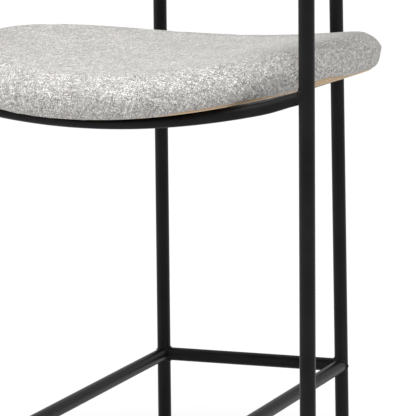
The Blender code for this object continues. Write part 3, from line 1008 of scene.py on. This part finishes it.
def scatter_tree(name):
    """Geometry nodes that set one shape on each point, turned to its stored directions."""
    inputs = (("Shape", "Object"), ("Size", "Float"), ("Finish", "Material"))
    maker, wires, tree = new_tree(name, inputs)
    kind = "GeometryNodeInputNamedAttribute"
    facing, along = (
        maker.node(kind, {"data_type": "FLOAT_VECTOR"}, {"Name": label})
        for label in ("facing", "along")
    )
    kind = "FunctionNodeAlignRotationToVector"
    turn = maker.node(kind, {"axis": "Z"}, {"Vector": facing})
    sockets = {"Rotation": turn, "Vector": along}
    turn = maker.node(kind, {"axis": "X", "pivot_axis": "Z"}, sockets)
    shape = maker.node("GeometryNodeObjectInfo", sockets={"Object": wires["Shape"]}).socket.node
    shape = Wire(maker, shape.outputs["Geometry"])
    place_copies(maker, wires, wires["Geometry"], shape, turn, wires["Size"])
    return tree


def scatter(name, shape_mesh, spots, finish):
    """One object that holds the shape at each (place, facing, along)."""
    mesh = bpy.data.meshes.new(name)
    mesh.from_pydata([tuple(spot[0]) for spot in spots], [], [])
    for index, label in ((1, "facing"), (2, "along")):
        layer = mesh.attributes.new(label, "FLOAT_VECTOR", "POINT")
        layer.data.foreach_set("vector", [part for spot in spots for part in spot[index]])
    obj = add_object(name, mesh)
    shape = add_object(f"{name}_shape", shape_mesh)
    step = obj.modifiers.new("scatter", "NODES")
    step.node_group = scatter_tree(name)
    fill_inputs(step, {"Shape": shape, "Size": 1.0, "Finish": material(finish)})
    settle(obj)
    bpy.data.objects.remove(shape)
    return obj


def box_middle(node):
    low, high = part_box(node)
    return (Vector(low) + Vector(high)) / 2.0


def dish_normal(x, y):
    seat = bpy.context.scene.stool_seat
    return Vector((-x / seat.dish, -seat.tilt, 1.0)).normalized()


SEAT_SCREWS = 6
BACK_SCREWS = 8
SEAT_TABS = 6
BACK_TABS = 4
# From the middle of a screw's CAD solid to the seat of its head
SEAT_HEAD_OFFSET = 0.0052
BACK_HEAD_OFFSET = 0.0056


def numbered(label, count):
    return [f"{label}_{number}" for number in range(1, count + 1)]


class STOOL_OT_screws(bpy.types.Operator):
    """Set the seat screws and back screws, and coat the welded tabs"""

    bl_idname = "stool.screws"
    bl_label = "Screws and tabs"

    def execute(self, context):
        nodes, spots = numbered("seat_screw", SEAT_SCREWS), []
        for index, node in enumerate(nodes):
            middle = box_middle(node)
            normal = dish_normal(middle.x, middle.y)
            turn = Matrix.Rotation(0.7 * index, 3, "Z")
            head = middle - normal * SEAT_HEAD_OFFSET
            spots.append((head, -normal, turn @ Vector((1.0, 0.0, 0.0))))
        place(scatter("seat_screws", screw_mesh(), spots, "zinc_plate"), nodes)
        nodes, spots = numbered("back_screw", BACK_SCREWS), []
        centre = hoop_shape()[0]
        for index, node in enumerate(nodes):
            tab = box_middle(f"back_tab_{index // 2 + 1}")
            out = Vector((tab.x, tab.y - centre.y, 0.0)).normalized()
            turn = Matrix.Rotation(0.5 * index, 3, out)
            spots.append((box_middle(node) + out * BACK_HEAD_OFFSET, out, turn @ UP))
        place(scatter("back_screws", screw_mesh(), spots, "zinc_plate"), nodes)
        for node in numbered("seat_tab", SEAT_TABS) + numbered("back_tab", BACK_TABS):
            repaint(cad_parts[node], "powder_coat")
        return {"FINISHED"}


# Seat


PAD_POINTS = 288


TOP_ROLL_ROWS = 22
WALL_ROWS = 14
BOTTOM_ROLL_ROWS = 8


def pad_rows():
    """(inset, height above the board's underside, share of the top roll) down the pad."""
    seat = bpy.context.scene.stool_seat
    rows = []
    top = seat.lip + seat.thickness
    for step in range(1, TOP_ROLL_ROWS + 1):
        share = step / TOP_ROLL_ROWS
        turn = share * math.pi / 2.0
        inset = seat.top_roll * (1.0 - math.sin(turn))
        rows.append((inset, top - seat.drop * (1.0 - math.cos(turn)), share))
    wall_top, wall_low = rows[-1][1], seat.lip + seat.bottom_rise
    for step in range(1, WALL_ROWS + 1):
        rows.append((0.0, wall_top + (wall_low - wall_top) * step / WALL_ROWS, 1.0))
    for step in range(1, BOTTOM_ROLL_ROWS + 1):
        turn = math.pi / 2.0 * step / BOTTOM_ROLL_ROWS
        drop = seat.bottom_rise * (1.0 - math.sin(turn))
        rows.append((seat.bottom_roll * (1.0 - math.cos(turn)), seat.lip + drop, 1.0))
    return rows


# (degrees round the seat from its right side, lift of the cover's cut edge)
LIP_MARKS = (
    (-180.0, -0.0017),
    (-72.0, -0.0017),
    (-61.0, 0.0010),
    (-42.0, 0.0015),
    (-34.0, -0.0004),
    (-26.0, -0.0004),
    (-19.0, 0.0050),
    (-14.0, 0.0050),
    (-5.0, 0.0004),
    (0.0, -0.0002),
    (30.0, -0.0002),
    (60.0, -0.0012),
    (180.0, -0.0017),
)
RAGGED_DEPTH = 0.0006
RAGGED_WAVES = (37.0, 59.0, 83.0, 131.0)


def lip_lift(angle):
    """How far the cover's cut edge rides up the board round the seat."""
    degrees = (math.degrees(angle) + 180.0) % 360.0 - 180.0
    ragged = sum(math.sin(angle * wave + wave) for wave in RAGGED_WAVES) / len(RAGGED_WAVES)
    for (low, first), (high, second) in zip(LIP_MARKS, LIP_MARKS[1:]):
        if low <= degrees <= high:
            share = (degrees - low) / (high - low)
            share = share * share * (3.0 - 2.0 * share)
            return first + (second - first) * share + RAGGED_DEPTH * ragged


def strips(first, count):
    """Faces that close an even ring by joining its points straight across."""
    faces = [(first, first + 1, first + count - 1)]
    for i in range(1, count // 2 - 1):
        faces.append((first + i, first + i + 1, first + count - i - 1, first + count - i))
    middle = first + count // 2
    faces.append((middle - 1, middle, middle + 1))
    return faces


def cloth_uvs(rings, spots_uv, ways):
    """UVs of rings that run out from a first one, by the length travelled along the cloth."""
    travel, uvs = np.zeros(len(spots_uv)), []
    for before, ring in zip(rings, rings[1:]):
        travel = travel + np.linalg.norm(ring - before, axis=1)
        uvs.extend(map(tuple, spots_uv + ways * travel[:, None]))
    return uvs


CROWN_RINGS = 26
LIFT_FADE = 0.020


def seat_pad_data():
    """(points, faces, UVs in metres, rows) of the cover, from its middle to its cut edge."""
    seat = bpy.context.scene.stool_seat
    outline, normals = seat_outline(0.0, PAD_POINTS)
    inner, _ = seat_outline(seat.top_roll, PAD_POINTS)
    middle = np.array([0.0, seat_middle()])
    top = seat.lip + seat.thickness

    def crown(spot):
        reach = (spot - middle) / (outline.max(axis=0) - middle)
        return seat.crown * max(0.0, 1.0 - float(reach @ reach))

    points, uvs = [], []
    for step in range(1, CROWN_RINGS):
        for spot in middle + (inner - middle) * (step / CROWN_RINGS):
            points.append((*spot, dish_height(*spot, top + crown(spot))))
            uvs.append(tuple(spot))
    across = outline - inner
    lift = [lip_lift(2.0 * math.pi * i / PAD_POINTS) for i in range(PAD_POINTS)]
    rings = [np.array(points[-PAD_POINTS:])]
    for inset, height, share in pad_rows():
        on_top = share < 1.0
        spots = outline - (across / seat.top_roll if on_top else normals) * inset
        near_edge = max(0.0, 1.0 - (height - seat.lip) / LIFT_FADE)
        ring = []
        for spot, raised in zip(spots, lift):
            up = height + (crown(spot) if on_top else 0.0) + raised * near_edge
            ring.append((*spot, dish_height(*spot, up)))
        rings.append(np.array(ring))
        points.extend(ring)
    ways = across / np.linalg.norm(across, axis=1)[:, None]
    uvs += cloth_uvs(rings, np.array(uvs[-PAD_POINTS:]), ways)
    rows = len(points) // PAD_POINTS
    return points, strips(0, PAD_POINTS) + grid_faces(rows, PAD_POINTS), uvs, rows


CLOTH_FEEL = {
    "quality": 8,
    "mass": 0.25,
    "tension_stiffness": 40.0,
    "compression_stiffness": 40.0,
    "shear_stiffness": 20.0,
    "bending_stiffness": 1.2,
    "air_damping": 4.0,
    "use_pressure": True,
    "uniform_pressure_force": 4.0,
    "vertex_group_mass": "held",
    "shrink_min": -0.012,
}
CLOTH_FRAMES = 20


def read_points(mesh):
    flat = np.empty(len(mesh.vertices) * 3)
    mesh.vertices.foreach_get("co", flat)
    return flat.reshape(-1, 3)


def puff(obj, held, limit):
    """Fills the cover like a cushion, with its held points pinned, and caps their movement."""
    before = read_points(obj.data)
    group = obj.vertex_groups.new(name="held")
    for index, weight in held:
        group.add([int(index)], weight, "REPLACE")
    step = obj.modifiers.new("cloth", "CLOTH")
    for name, value in CLOTH_FEEL.items():
        setattr(step.settings, name, value)
    step.settings.effector_weights.gravity = 0.0
    step.collision_settings.use_collision = False
    step.point_cache.frame_start = 1
    step.point_cache.frame_end = CLOTH_FRAMES
    scene = bpy.context.scene
    for moment in range(1, CLOTH_FRAMES + 1):
        scene.frame_set(moment)
    graph = bpy.context.evaluated_depsgraph_get()
    puffed = bpy.data.meshes.new_from_object(obj.evaluated_get(graph), depsgraph=graph)
    shift = np.nan_to_num(read_points(puffed) - before)
    obj.modifiers.clear()
    obj.vertex_groups.clear()
    scene.frame_set(1)
    size = np.linalg.norm(shift, axis=1)
    keep = limit * np.tanh(size / limit) / np.maximum(size, 1e-9)
    obj.data.vertices.foreach_set("co", (before + shift * keep[:, None]).ravel())
    obj.data.update()


class STOOL_OT_seat(bpy.types.Operator):
    """Make the seat: covered pad, plywood board, dust cover and staples"""

    bl_idname = "stool.seat"
    bl_label = "Seat"

    def execute(self, context):
        make_seat_pad()
        make_seat_board()
        make_dust_cover()
        return {"FINISHED"}


# How much smaller than its CAD solid a cover is before it is filled
COVER_DRAWN_IN = 0.0009
SIDE_ROWS = WALL_ROWS + BOTTOM_ROLL_ROWS
PINNED_ROWS = 8
EASED_ROWS = 18
COVER_LIMIT = 0.0026
PULL_DEPTH = 0.0006
PULL_WAVES = (9, 14, 23, 31, 44)
PULL_FADE_ROW = 18
PULL_FADE = 0.4
EASED_HOLD = 0.25
# The hem inside the cut edge, and the hidden sheet that closes the cover above the board
HEM_INSET, HEM_HEIGHT = 0.0075, 0.0126
SHEET_INSET, SHEET_HEIGHT = 0.060, 0.0130


def make_seat_pad():
    points, faces, uvs, rows = seat_pad_data()
    count = len(points)
    points, uvs = np.array(points), list(uvs)
    _, normals = seat_outline(0.0, PAD_POINTS)
    angles = 2.0 * np.pi * np.arange(PAD_POINTS) / PAD_POINTS
    rng = np.random.default_rng(11)
    pulls = sum(
        rng.uniform(0.4, 1.0) * np.sin(angles * wave + rng.uniform(0.0, 6.28))
        for wave in PULL_WAVES
    )
    for row in range(SIDE_ROWS):
        first = (rows - SIDE_ROWS + row) * PAD_POINTS
        depth = PULL_DEPTH / 3.0 * ((row + 1) / SIDE_ROWS) ** 2
        share = depth * (1.0 if row < PULL_FADE_ROW else PULL_FADE)
        inwards = (COVER_DRAWN_IN + share * pulls)[:, None]
        points[first : first + PAD_POINTS, :2] -= normals * inwards
    lip = points[-PAD_POINTS:]
    inside = lip.copy()
    inside[:, :2] -= normals * HEM_INSET
    inside[:, 2] = [dish_height(x, y, HEM_HEIGHT) for x, y in lip[:, :2]]
    far, _ = seat_outline(SHEET_INSET, PAD_POINTS)
    floor = np.array([(x, y, dish_height(x, y, SHEET_HEIGHT)) for x, y in far])
    points = np.concatenate([points, inside, floor])
    lip_uv = np.array(uvs[-PAD_POINTS:])
    outward = lip_uv - np.array([0.0, seat_middle()])
    outward /= np.linalg.norm(outward, axis=1)[:, None]
    for reach in (0.012, 0.05):
        uvs.extend(map(tuple, lip_uv + outward * reach))
    faces += grid_faces(3, PAD_POINTS, first=count - PAD_POINTS)
    faces += strips(count + PAD_POINTS, PAD_POINTS)
    obj = new_object("seat_cover", points, faces, "seat_cloth", uvs)
    outwards(obj)
    pinned, eased = count - PINNED_ROWS * PAD_POINTS, count - EASED_ROWS * PAD_POINTS
    held = [(index, 1.0) for index in range(pinned, len(points))]
    held += [(index, EASED_HOLD) for index in range(eased, pinned)]
    puff(obj, held, COVER_LIMIT)
    settle(obj, [("SUBSURF", {"levels": 1, "render_levels": 1})])
    obj.data.polygons.foreach_set("use_smooth", [True] * len(obj.data.polygons))
    place(obj, "seat_pad")


RIM_POINTS = 256


class Sheet:
    """Points and faces of rings that follow the seat's outline."""

    def __init__(self):
        self.points = []
        self.faces = []

    def ring(self, inset, share, height):
        """Adds the outline drawn in by inset and shrunk by share, and gives its first index."""
        first, middle = len(self.points), seat_middle()
        for x, y in seat_outline(inset, RIM_POINTS)[0]:
            px, py = x * share, middle + (y - middle) * share
            self.points.append((px, py, dish_height(px, py, height)))
        return first

    def join(self, first, second):
        for i in range(RIM_POINTS):
            after = (i + 1) % RIM_POINTS
            self.faces.append((first + i, first + after, second + after, second + i))

    def rings(self, rows, rim=None):
        """Adds joined rings of (inset, share, height) after a rim, and gives the first and last."""
        starts = [] if rim is None else [rim]
        for row in rows:
            starts.append(self.ring(*row))
            if len(starts) > 1:
                self.join(starts[-2], starts[-1])
        return starts[0], starts[-1]

    def close(self, first, height):
        middle = seat_middle()
        self.points.append((0.0, middle, dish_height(0.0, middle, height)))
        for i in range(RIM_POINTS):
            after = (i + 1) % RIM_POINTS
            self.faces.append((first + i, first + after, len(self.points) - 1))


BOARD_INSET = 0.012
BOARD_T = 0.012
BOARD_SOFT_EDGE = 0.0006
BOARD_SHARES = (0.9, 0.75, 0.6, 0.45, 0.3, 0.15)


def make_seat_board():
    """The dished plywood board, eased a little at its edges."""
    sheet, soft = Sheet(), BOARD_SOFT_EDGE
    eased = BOARD_INSET + soft
    low, high = sheet.rings(
        [
            (eased, 1.0, 0.0),
            (BOARD_INSET, 1.0, soft),
            (BOARD_INSET, 1.0, BOARD_T - soft),
            (eased, 1.0, BOARD_T),
        ]
    )
    for rim, height in ((low, 0.0), (high, BOARD_T)):
        _, last = sheet.rings([(BOARD_INSET, share, height) for share in BOARD_SHARES], rim)
        sheet.close(last, height)
    place(solid_of("plywood_board", sheet.points, sheet.faces, "plywood", 35.0), "seat_board")


LINER_TOP = -0.0001
LINER_SHARES = (0.92, 0.8, 0.65, 0.5, 0.35, 0.2)
STAPLES = 44


def make_dust_cover():
    """Black liner under the board, with a turned-in edge and a row of staples."""
    low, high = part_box("dust_cover")
    pad_low, pad_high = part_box("seat_pad")
    inset = (pad_high[0] - pad_low[0] - high[0] + low[0]) / 2.0
    rows = [
        (inset + 0.0002, 1.0, LINER_TOP),
        (inset, 1.0, -0.0005),
        (inset + 0.0004, 1.0, -0.0011),
        (inset + 0.009, 1.0, -0.0011),
        (inset + 0.0095, 1.0, -0.0006),
    ]
    for share in LINER_SHARES:
        rows.append((inset + 0.0095, share, -0.0006 - 0.00018 * (1.0 - share**2)))
    sheet = Sheet()
    rim, last = sheet.rings(rows)
    sheet.close(last, -0.0008)
    _, last = sheet.rings([(inset + 0.0002, share, LINER_TOP) for share in (0.6, 0.25)], rim)
    sheet.close(last, LINER_TOP)
    obj = new_object("dust_liner", sheet.points, sheet.faces, "liner_cloth")
    outwards(obj)
    place(obj, "dust_cover")
    spots = []
    for (x, y), (nx, ny) in zip(*seat_outline(inset + 0.0045, STAPLES)):
        at = Vector((x, y, dish_height(x, y, -0.0012)))
        spots.append((at, -dish_normal(x, y), Vector((-ny, nx, 0.0))))
    place(scatter("staples", staple_mesh(), spots, "zinc_plate"), [], "seat_screw_1")


# (across, height) of one half of a staple
STAPLE_HALF = ((0.0044, 0.0003), (0.0048, -0.0001), (0.0048, -0.0014))
STAPLE_WIRE_RADIUS = 0.00035


def staple_mesh():
    """The crown and two short legs of a wire staple, crown upwards along +Z."""
    path = [(-x, 0.0, z) for x, z in reversed(STAPLE_HALF)]
    path += [(x, 0.0, z) for x, z in STAPLE_HALF]
    points, faces = tube_data(path, STAPLE_WIRE_RADIUS, 6)
    mesh = bpy.data.meshes.new("staple")
    mesh.from_pydata([tuple(point) for point in points], [], faces)
    return finish_mesh(mesh, "zinc_plate")


# Back


@functools.cache
def band_shape(node="back_pad"):
    """(centre, inner radius, outer radius, start angle, low z, high z) of a part of the band."""
    points = corners(node)
    centre = hoop_shape()[0]
    reach = np.hypot(points[:, 0], points[:, 1] - centre.y)
    right = points[points[:, 0] > 0.0]
    start = np.arctan2(right[:, 1] - centre.y, right[:, 0]).min()
    low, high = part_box(node)
    return centre, float(reach.min()), float(reach.max()), float(start), low[2], high[2]


def band_spot(centre, radius, angle, z):
    return (radius * math.cos(angle), centre.y + radius * math.sin(angle), z)


BAND_SOFT_EDGE = 0.0025


def band_section(inner, outer, low, high, roll):
    """(radius, z) round one slice of the padded band, from its inner low corner."""
    section = []
    for step in range(13):
        turn = math.pi / 2.0 * step / 12.0
        section.append((inner + roll * (1.0 - math.sin(turn)), low + roll * (1.0 - math.cos(turn))))
    for step in range(1, 14):
        section.append((inner, low + roll + (high - low - 2.0 * roll) * step / 14.0))
    for step in range(13):
        turn = math.pi / 2.0 * step / 12.0
        radius = inner + roll * (1.0 - math.cos(turn))
        section.append((radius, high - roll * (1.0 - math.sin(turn))))
    soft = BAND_SOFT_EDGE
    section.append((outer - soft, high))
    section.append((outer - soft * 0.3, high - soft * 0.3))
    section.append((outer, high - soft))
    for step in range(1, 12):
        section.append((outer, high - soft + (low - high + 2.0 * soft) * step / 12.0))
    section.append((outer, low + soft))
    section.append((outer - soft * 0.3, low + soft * 0.3))
    section.append((outer - soft, low))
    return section


BAND_ROLL = 0.0150
BAND_END_ROLL = 0.016
BAND_STEPS = 200
SEAM_PULL = 0.0004
SEAM_RATES = (61.0, 97.0, 171.0)
SEAM_DEPTH = 0.006
SEAM_REACH = 0.012
BAND_TIP = 0.0016
BAND_HELD_DEPTH = 0.0048
BAND_LIMIT = 0.0028


def band_stations(arc):
    """(distance along the band, share of the full section) from end to end."""
    ends = []
    for step in range(1, 9):
        reach = BAND_END_ROLL * (1.0 - math.cos(math.pi / 2.0 * step / 8.0))
        grown = math.sqrt(max(0.0, 1.0 - (1.0 - reach / BAND_END_ROLL) ** 2))
        ends.append((reach, grown))
    span = arc - 2.0 * BAND_END_ROLL
    middle = [(BAND_END_ROLL + span * i / BAND_STEPS, 1.0) for i in range(1, BAND_STEPS)]
    return ends + middle + [(arc - reach, grown) for reach, grown in reversed(ends)]


def close_band_end(points, uvs, faces, first, columns, angle, push):
    """Domes the end of the band with rings that shrink to one point."""
    ring = np.array(points[first : first + columns])
    spot = ring.mean(axis=0)
    way = np.array([-math.sin(angle), math.cos(angle), 0.0]) * push
    rims = [first]
    for share, out in ((0.75, 0.35), (0.5, 0.65), (0.25, 0.85)):
        rims.append(len(points))
        for index in range(columns):
            points.append(tuple(spot + (ring[index] - spot) * share + way * out))
            u, v = uvs[first + index]
            uvs.append((u - push * 4.0 * out, v))
    points.append(tuple(spot + way))
    uvs.append((uvs[first][0] + push * 4.0, 0.09))
    afters = [(i + 1) % columns for i in range(columns)]
    for a, b in zip(rims, rims[1:]):
        faces.extend((a + i, a + after, b + after, b + i) for i, after in enumerate(afters))
    tip, rim = len(points) - 1, rims[-1]
    faces.extend((rim + i, rim + after, tip) for i, after in enumerate(afters))


def make_back_pad():
    centre, inner, outer, start, low, high = band_shape()
    inner, low, high = inner + COVER_DRAWN_IN, low + COVER_DRAWN_IN, high - COVER_DRAWN_IN
    middle_r, middle_z = (inner + outer) / 2.0, (low + high) / 2.0
    section = band_section(inner, outer, low, high, BAND_ROLL)
    steps = [math.dist(a, b) for a, b in zip(section, section[1:])]
    across = np.concatenate([[0.0], np.cumsum(steps)])
    stations = band_stations(middle_r * (math.pi - 2.0 * start))
    phases = np.random.default_rng(5).uniform(0.0, 6.28, 3)
    points, uvs = [], []
    for reach, grown in stations:
        wave = sum(math.sin(reach * rate + phase) for rate, phase in zip(SEAM_RATES, phases)) / 3.0
        shrink = BAND_END_ROLL * (1.0 - grown)
        for (radius, z), v in zip(section, across):
            away, up = outer - radius, z - middle_z
            inwards = shrink if radius < middle_r else 0.0
            r = min(outer, radius + inwards * min(1.0, away / (outer - inner)))
            edge = max(0.0, 1.0 - abs(away - SEAM_DEPTH) / SEAM_REACH)
            if up:
                z -= math.copysign(min(shrink, abs(up)), up)
            z += SEAM_PULL * wave * edge * math.copysign(1.0, up)
            points.append(band_spot(centre, r, start + reach / middle_r, z))
            uvs.append((reach, v))
    columns = len(section)
    faces = grid_faces(len(stations), columns)
    last = (len(stations) - 1) * columns
    close_band_end(points, uvs, faces, 0, columns, start, -BAND_TIP)
    close_band_end(points, uvs, faces, last, columns, math.pi - start, BAND_TIP)
    obj = new_object("back_cover", points, faces, "back_cloth", uvs)
    outwards(obj)
    flat = np.array(points)
    reach = np.hypot(flat[:, 0], flat[:, 1] - centre.y)
    held = np.nonzero(reach > outer - BAND_HELD_DEPTH)[0]
    puff(obj, [(index, 1.0) for index in held], BAND_LIMIT)
    settle(obj, [("SUBSURF", {"levels": 1, "render_levels": 1})])
    place(obj, "back_pad")


PANEL_T = 0.0027
PANEL_PUFF = 0.0007
PANEL_EDGE = 0.004
PANEL_STEPS = 220
PANEL_RISE = 30
WELT_INSET = 0.0015
WELT_RADIUS = 0.0019
WELT_SINK = 0.0008


def make_back_panel():
    """The outer cloth panel with a welt round its edge."""
    centre, _, outer, start, bottom, top = band_shape("back_outer_panel")
    sweep, columns = math.pi - 2.0 * start, PANEL_STEPS + 1
    spots, uvs = [], []
    for front in (True, False):
        for row in range(PANEL_RISE + 1):
            z = bottom + (top - bottom) * row / PANEL_RISE
            for step in range(columns):
                along = sweep * step / PANEL_STEPS
                edge = min(z - bottom, top - z, along * outer, (sweep - along) * outer)
                sunk = PANEL_PUFF * math.exp(-edge / PANEL_EDGE) if front else PANEL_T
                radius = outer - sunk
                spots.append(band_spot(centre, radius, start + along, z))
                uvs.append((along * outer, z - bottom))
    layer = (PANEL_RISE + 1) * columns
    faces = grid_faces(PANEL_RISE + 1, columns, closed=False)
    faces += grid_faces(PANEL_RISE + 1, columns, closed=False, first=layer)
    rim = list(range(columns)) + [row * columns + PANEL_STEPS for row in range(1, PANEL_RISE + 1)]
    rim += [PANEL_RISE * columns + column for column in range(PANEL_STEPS - 1, -1, -1)]
    rim += [row * columns for row in range(PANEL_RISE - 1, 0, -1)]
    for a, b in zip(rim, rim[1:] + rim[:1]):
        faces.append((a, b, b + layer, a + layer))
    obj = new_object("back_panel_cloth", spots, faces, "back_cloth", uvs)
    outwards(obj)
    obj.data.set_sharp_from_angle(angle=math.radians(50.0))
    place(obj, "back_outer_panel")

    radius = outer - WELT_SINK
    first, last = start + WELT_INSET / outer, start + sweep - WELT_INSET / outer
    low, high = bottom + WELT_INSET, top - WELT_INSET
    line = [(first + (last - first) * i / 160.0, low) for i in range(161)]
    line += [(last, low + (high - low) * i / 20.0) for i in range(1, 20)]
    line += [(last - (last - first) * i / 160.0, high) for i in range(161)]
    line += [(first, high - (high - low) * i / 20.0) for i in range(1, 20)]
    line = [band_spot(centre, radius, angle, z) for angle, z in line]
    place(loop_cord("back_welt", line, WELT_RADIUS, "back_cloth"), [], "back_outer_panel")


def loop_cord(name, line, radius, finish, sides=10):
    """A round cord along a closed line."""
    line = [Vector(point) for point in line]
    points, uvs, travelled = [], [], 0.0
    for index, point in enumerate(line):
        after, before = line[(index + 1) % len(line)], line[index - 1]
        along = (after - before).normalized()
        side = along.cross(Vector((point.x, point.y, 0.0)).normalized()).normalized()
        travelled += (point - before).length if index else 0.0
        points += circle(point, side, side.cross(along), radius, sides)
        uvs += [(travelled, radius * 2.0 * math.pi * step / sides) for step in range(sides)]
    faces = grid_faces(len(line), sides)
    last = (len(line) - 1) * sides
    faces += [(last + i, last + (i + 1) % sides, (i + 1) % sides, i) for i in range(sides)]
    obj = new_object(name, points, faces, finish, uvs)
    outwards(obj)
    return obj


class STOOL_OT_back(bpy.types.Operator):
    """Make the back band: padded inside, bent board and outer panel"""

    bl_idname = "stool.back"
    bl_label = "Back"

    def execute(self, context):
        make_back_pad()
        make_back_panel()
        repaint(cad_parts["back_board"], "bent_plywood")
        return {"FINISHED"}


# Stage


def add_light(name, kind, energy, **values):
    data = bpy.data.lights.new(name, kind)
    data.energy = energy
    for label, value in values.items():
        setattr(data, label, value)
    return add_object(name, data)


def add_panel_light(name, energy, at, aim, width, height):
    light = add_light(name, "AREA", energy, shape="RECTANGLE", size=width, size_y=height)
    light.location = at
    light.rotation_euler = (Vector(aim) - Vector(at)).to_track_quat("-Z", "Y").to_euler()


def add_camera(stage):
    azimuth, pitch, roll = (math.radians(v) for v in (stage.azimuth, stage.pitch, stage.roll))
    level = Vector((math.cos(azimuth), math.sin(azimuth), 0.0))
    ahead = Vector((math.sin(azimuth), -math.cos(azimuth), 0.0))
    back = ahead * math.cos(pitch) + UP * math.sin(pitch)
    over = back.cross(level)
    right = level * math.cos(roll) + over * math.sin(roll)
    up = over * math.cos(roll) - level * math.sin(roll)
    data = bpy.data.cameras.new("camera")
    data.lens, data.sensor_width = stage.lens, 36.0
    data.clip_end = 100.0
    camera = add_object("camera", data)
    turn = Matrix((right, up, back)).transposed().to_4x4()
    camera.matrix_world = Matrix.Translation(Vector(stage.place)) @ turn
    bpy.context.scene.camera = camera


class STOOL_OT_stage(bpy.types.Operator):
    """Set the camera, the lights and the pale floor"""

    bl_idname = "stool.stage"
    bl_label = "Stage"

    def execute(self, context):
        scene = context.scene
        stage = scene.stool_stage
        low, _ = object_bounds()
        bpy.ops.mesh.primitive_plane_add(size=24.0, location=(0.0, 0.0, low[2] - 0.0005))
        floor = context.active_object
        floor.name = "pale_floor"
        flat = {"Base Color": (0.62, 0.62, 0.62), "Roughness": 1.0, "Specular IOR Level": 0.0}
        floor.data.materials.append(finish_material("pale_floor", lambda maker: flat))
        floor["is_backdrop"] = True

        world = bpy.data.worlds.new("studio")
        world.use_nodes = True
        around = world.node_tree.nodes["Background"]
        around.inputs["Color"].default_value = (1.0, 1.0, 1.0, 1.0)
        around.inputs["Strength"].default_value = stage.fill
        scene.world = world

        sky = add_light("overhead", "SUN", stage.overhead, angle=math.radians(55.0))
        sky.rotation_euler = (math.radians(14.0), math.radians(8.0), 0.0)
        add_panel_light("side", stage.side, (-2.5, -1.6, 1.3), (0.0, 0.0, 0.6), 0.5, 1.9)
        add_panel_light("front", stage.front, (0.9, -2.3, 2.9), (0.0, 0.0, 0.4), 2.0, 0.45)
        add_camera(stage)
        scene.view_settings.view_transform = "Standard"
        return {"FINISHED"}


# Registration


class STOOL_PT_panel(bpy.types.Panel):
    """Buttons that build each part of the stool"""

    bl_idname = "STOOL_PT_panel"
    bl_label = "Barrel stool"
    bl_space_type = "VIEW_3D"
    bl_region_type = "UI"
    bl_category = "Stool"

    def draw(self, context):
        layout = self.layout
        scene = context.scene
        for settings in (scene.stool_frame, scene.stool_seat, scene.stool_cloth, scene.stool_stage):
            box = layout.box()
            for name in settings.__annotations__:
                box.prop(settings, name)
        for operator in OPERATORS:
            layout.operator(operator.bl_idname)


OPERATORS = (
    STOOL_OT_frame,
    STOOL_OT_welds,
    STOOL_OT_feet,
    STOOL_OT_screws,
    STOOL_OT_seat,
    STOOL_OT_back,
    STOOL_OT_stage,
)
SETTINGS = {
    "stool_frame": FrameSettings,
    "stool_seat": SeatSettings,
    "stool_cloth": ClothSettings,
    "stool_stage": StageSettings,
}


def register():
    for settings in SETTINGS.values():
        bpy.utils.register_class(settings)
    for name, settings in SETTINGS.items():
        setattr(bpy.types.Scene, name, PointerProperty(type=settings))
    for made in (*OPERATORS, STOOL_PT_panel):
        bpy.utils.register_class(made)


def unregister():
    for made in (STOOL_PT_panel, *reversed(OPERATORS)):
        bpy.utils.unregister_class(made)
    for name, settings in SETTINGS.items():
        delattr(bpy.types.Scene, name)
        bpy.utils.unregister_class(settings)


def main():
    register()
    bpy.ops.stool.frame()
    bpy.ops.stool.welds()
    bpy.ops.stool.feet()
    bpy.ops.stool.screws()
    bpy.ops.stool.seat()
    bpy.ops.stool.back()
    bpy.ops.stool.stage()


if __name__ == "__main__":
    main()
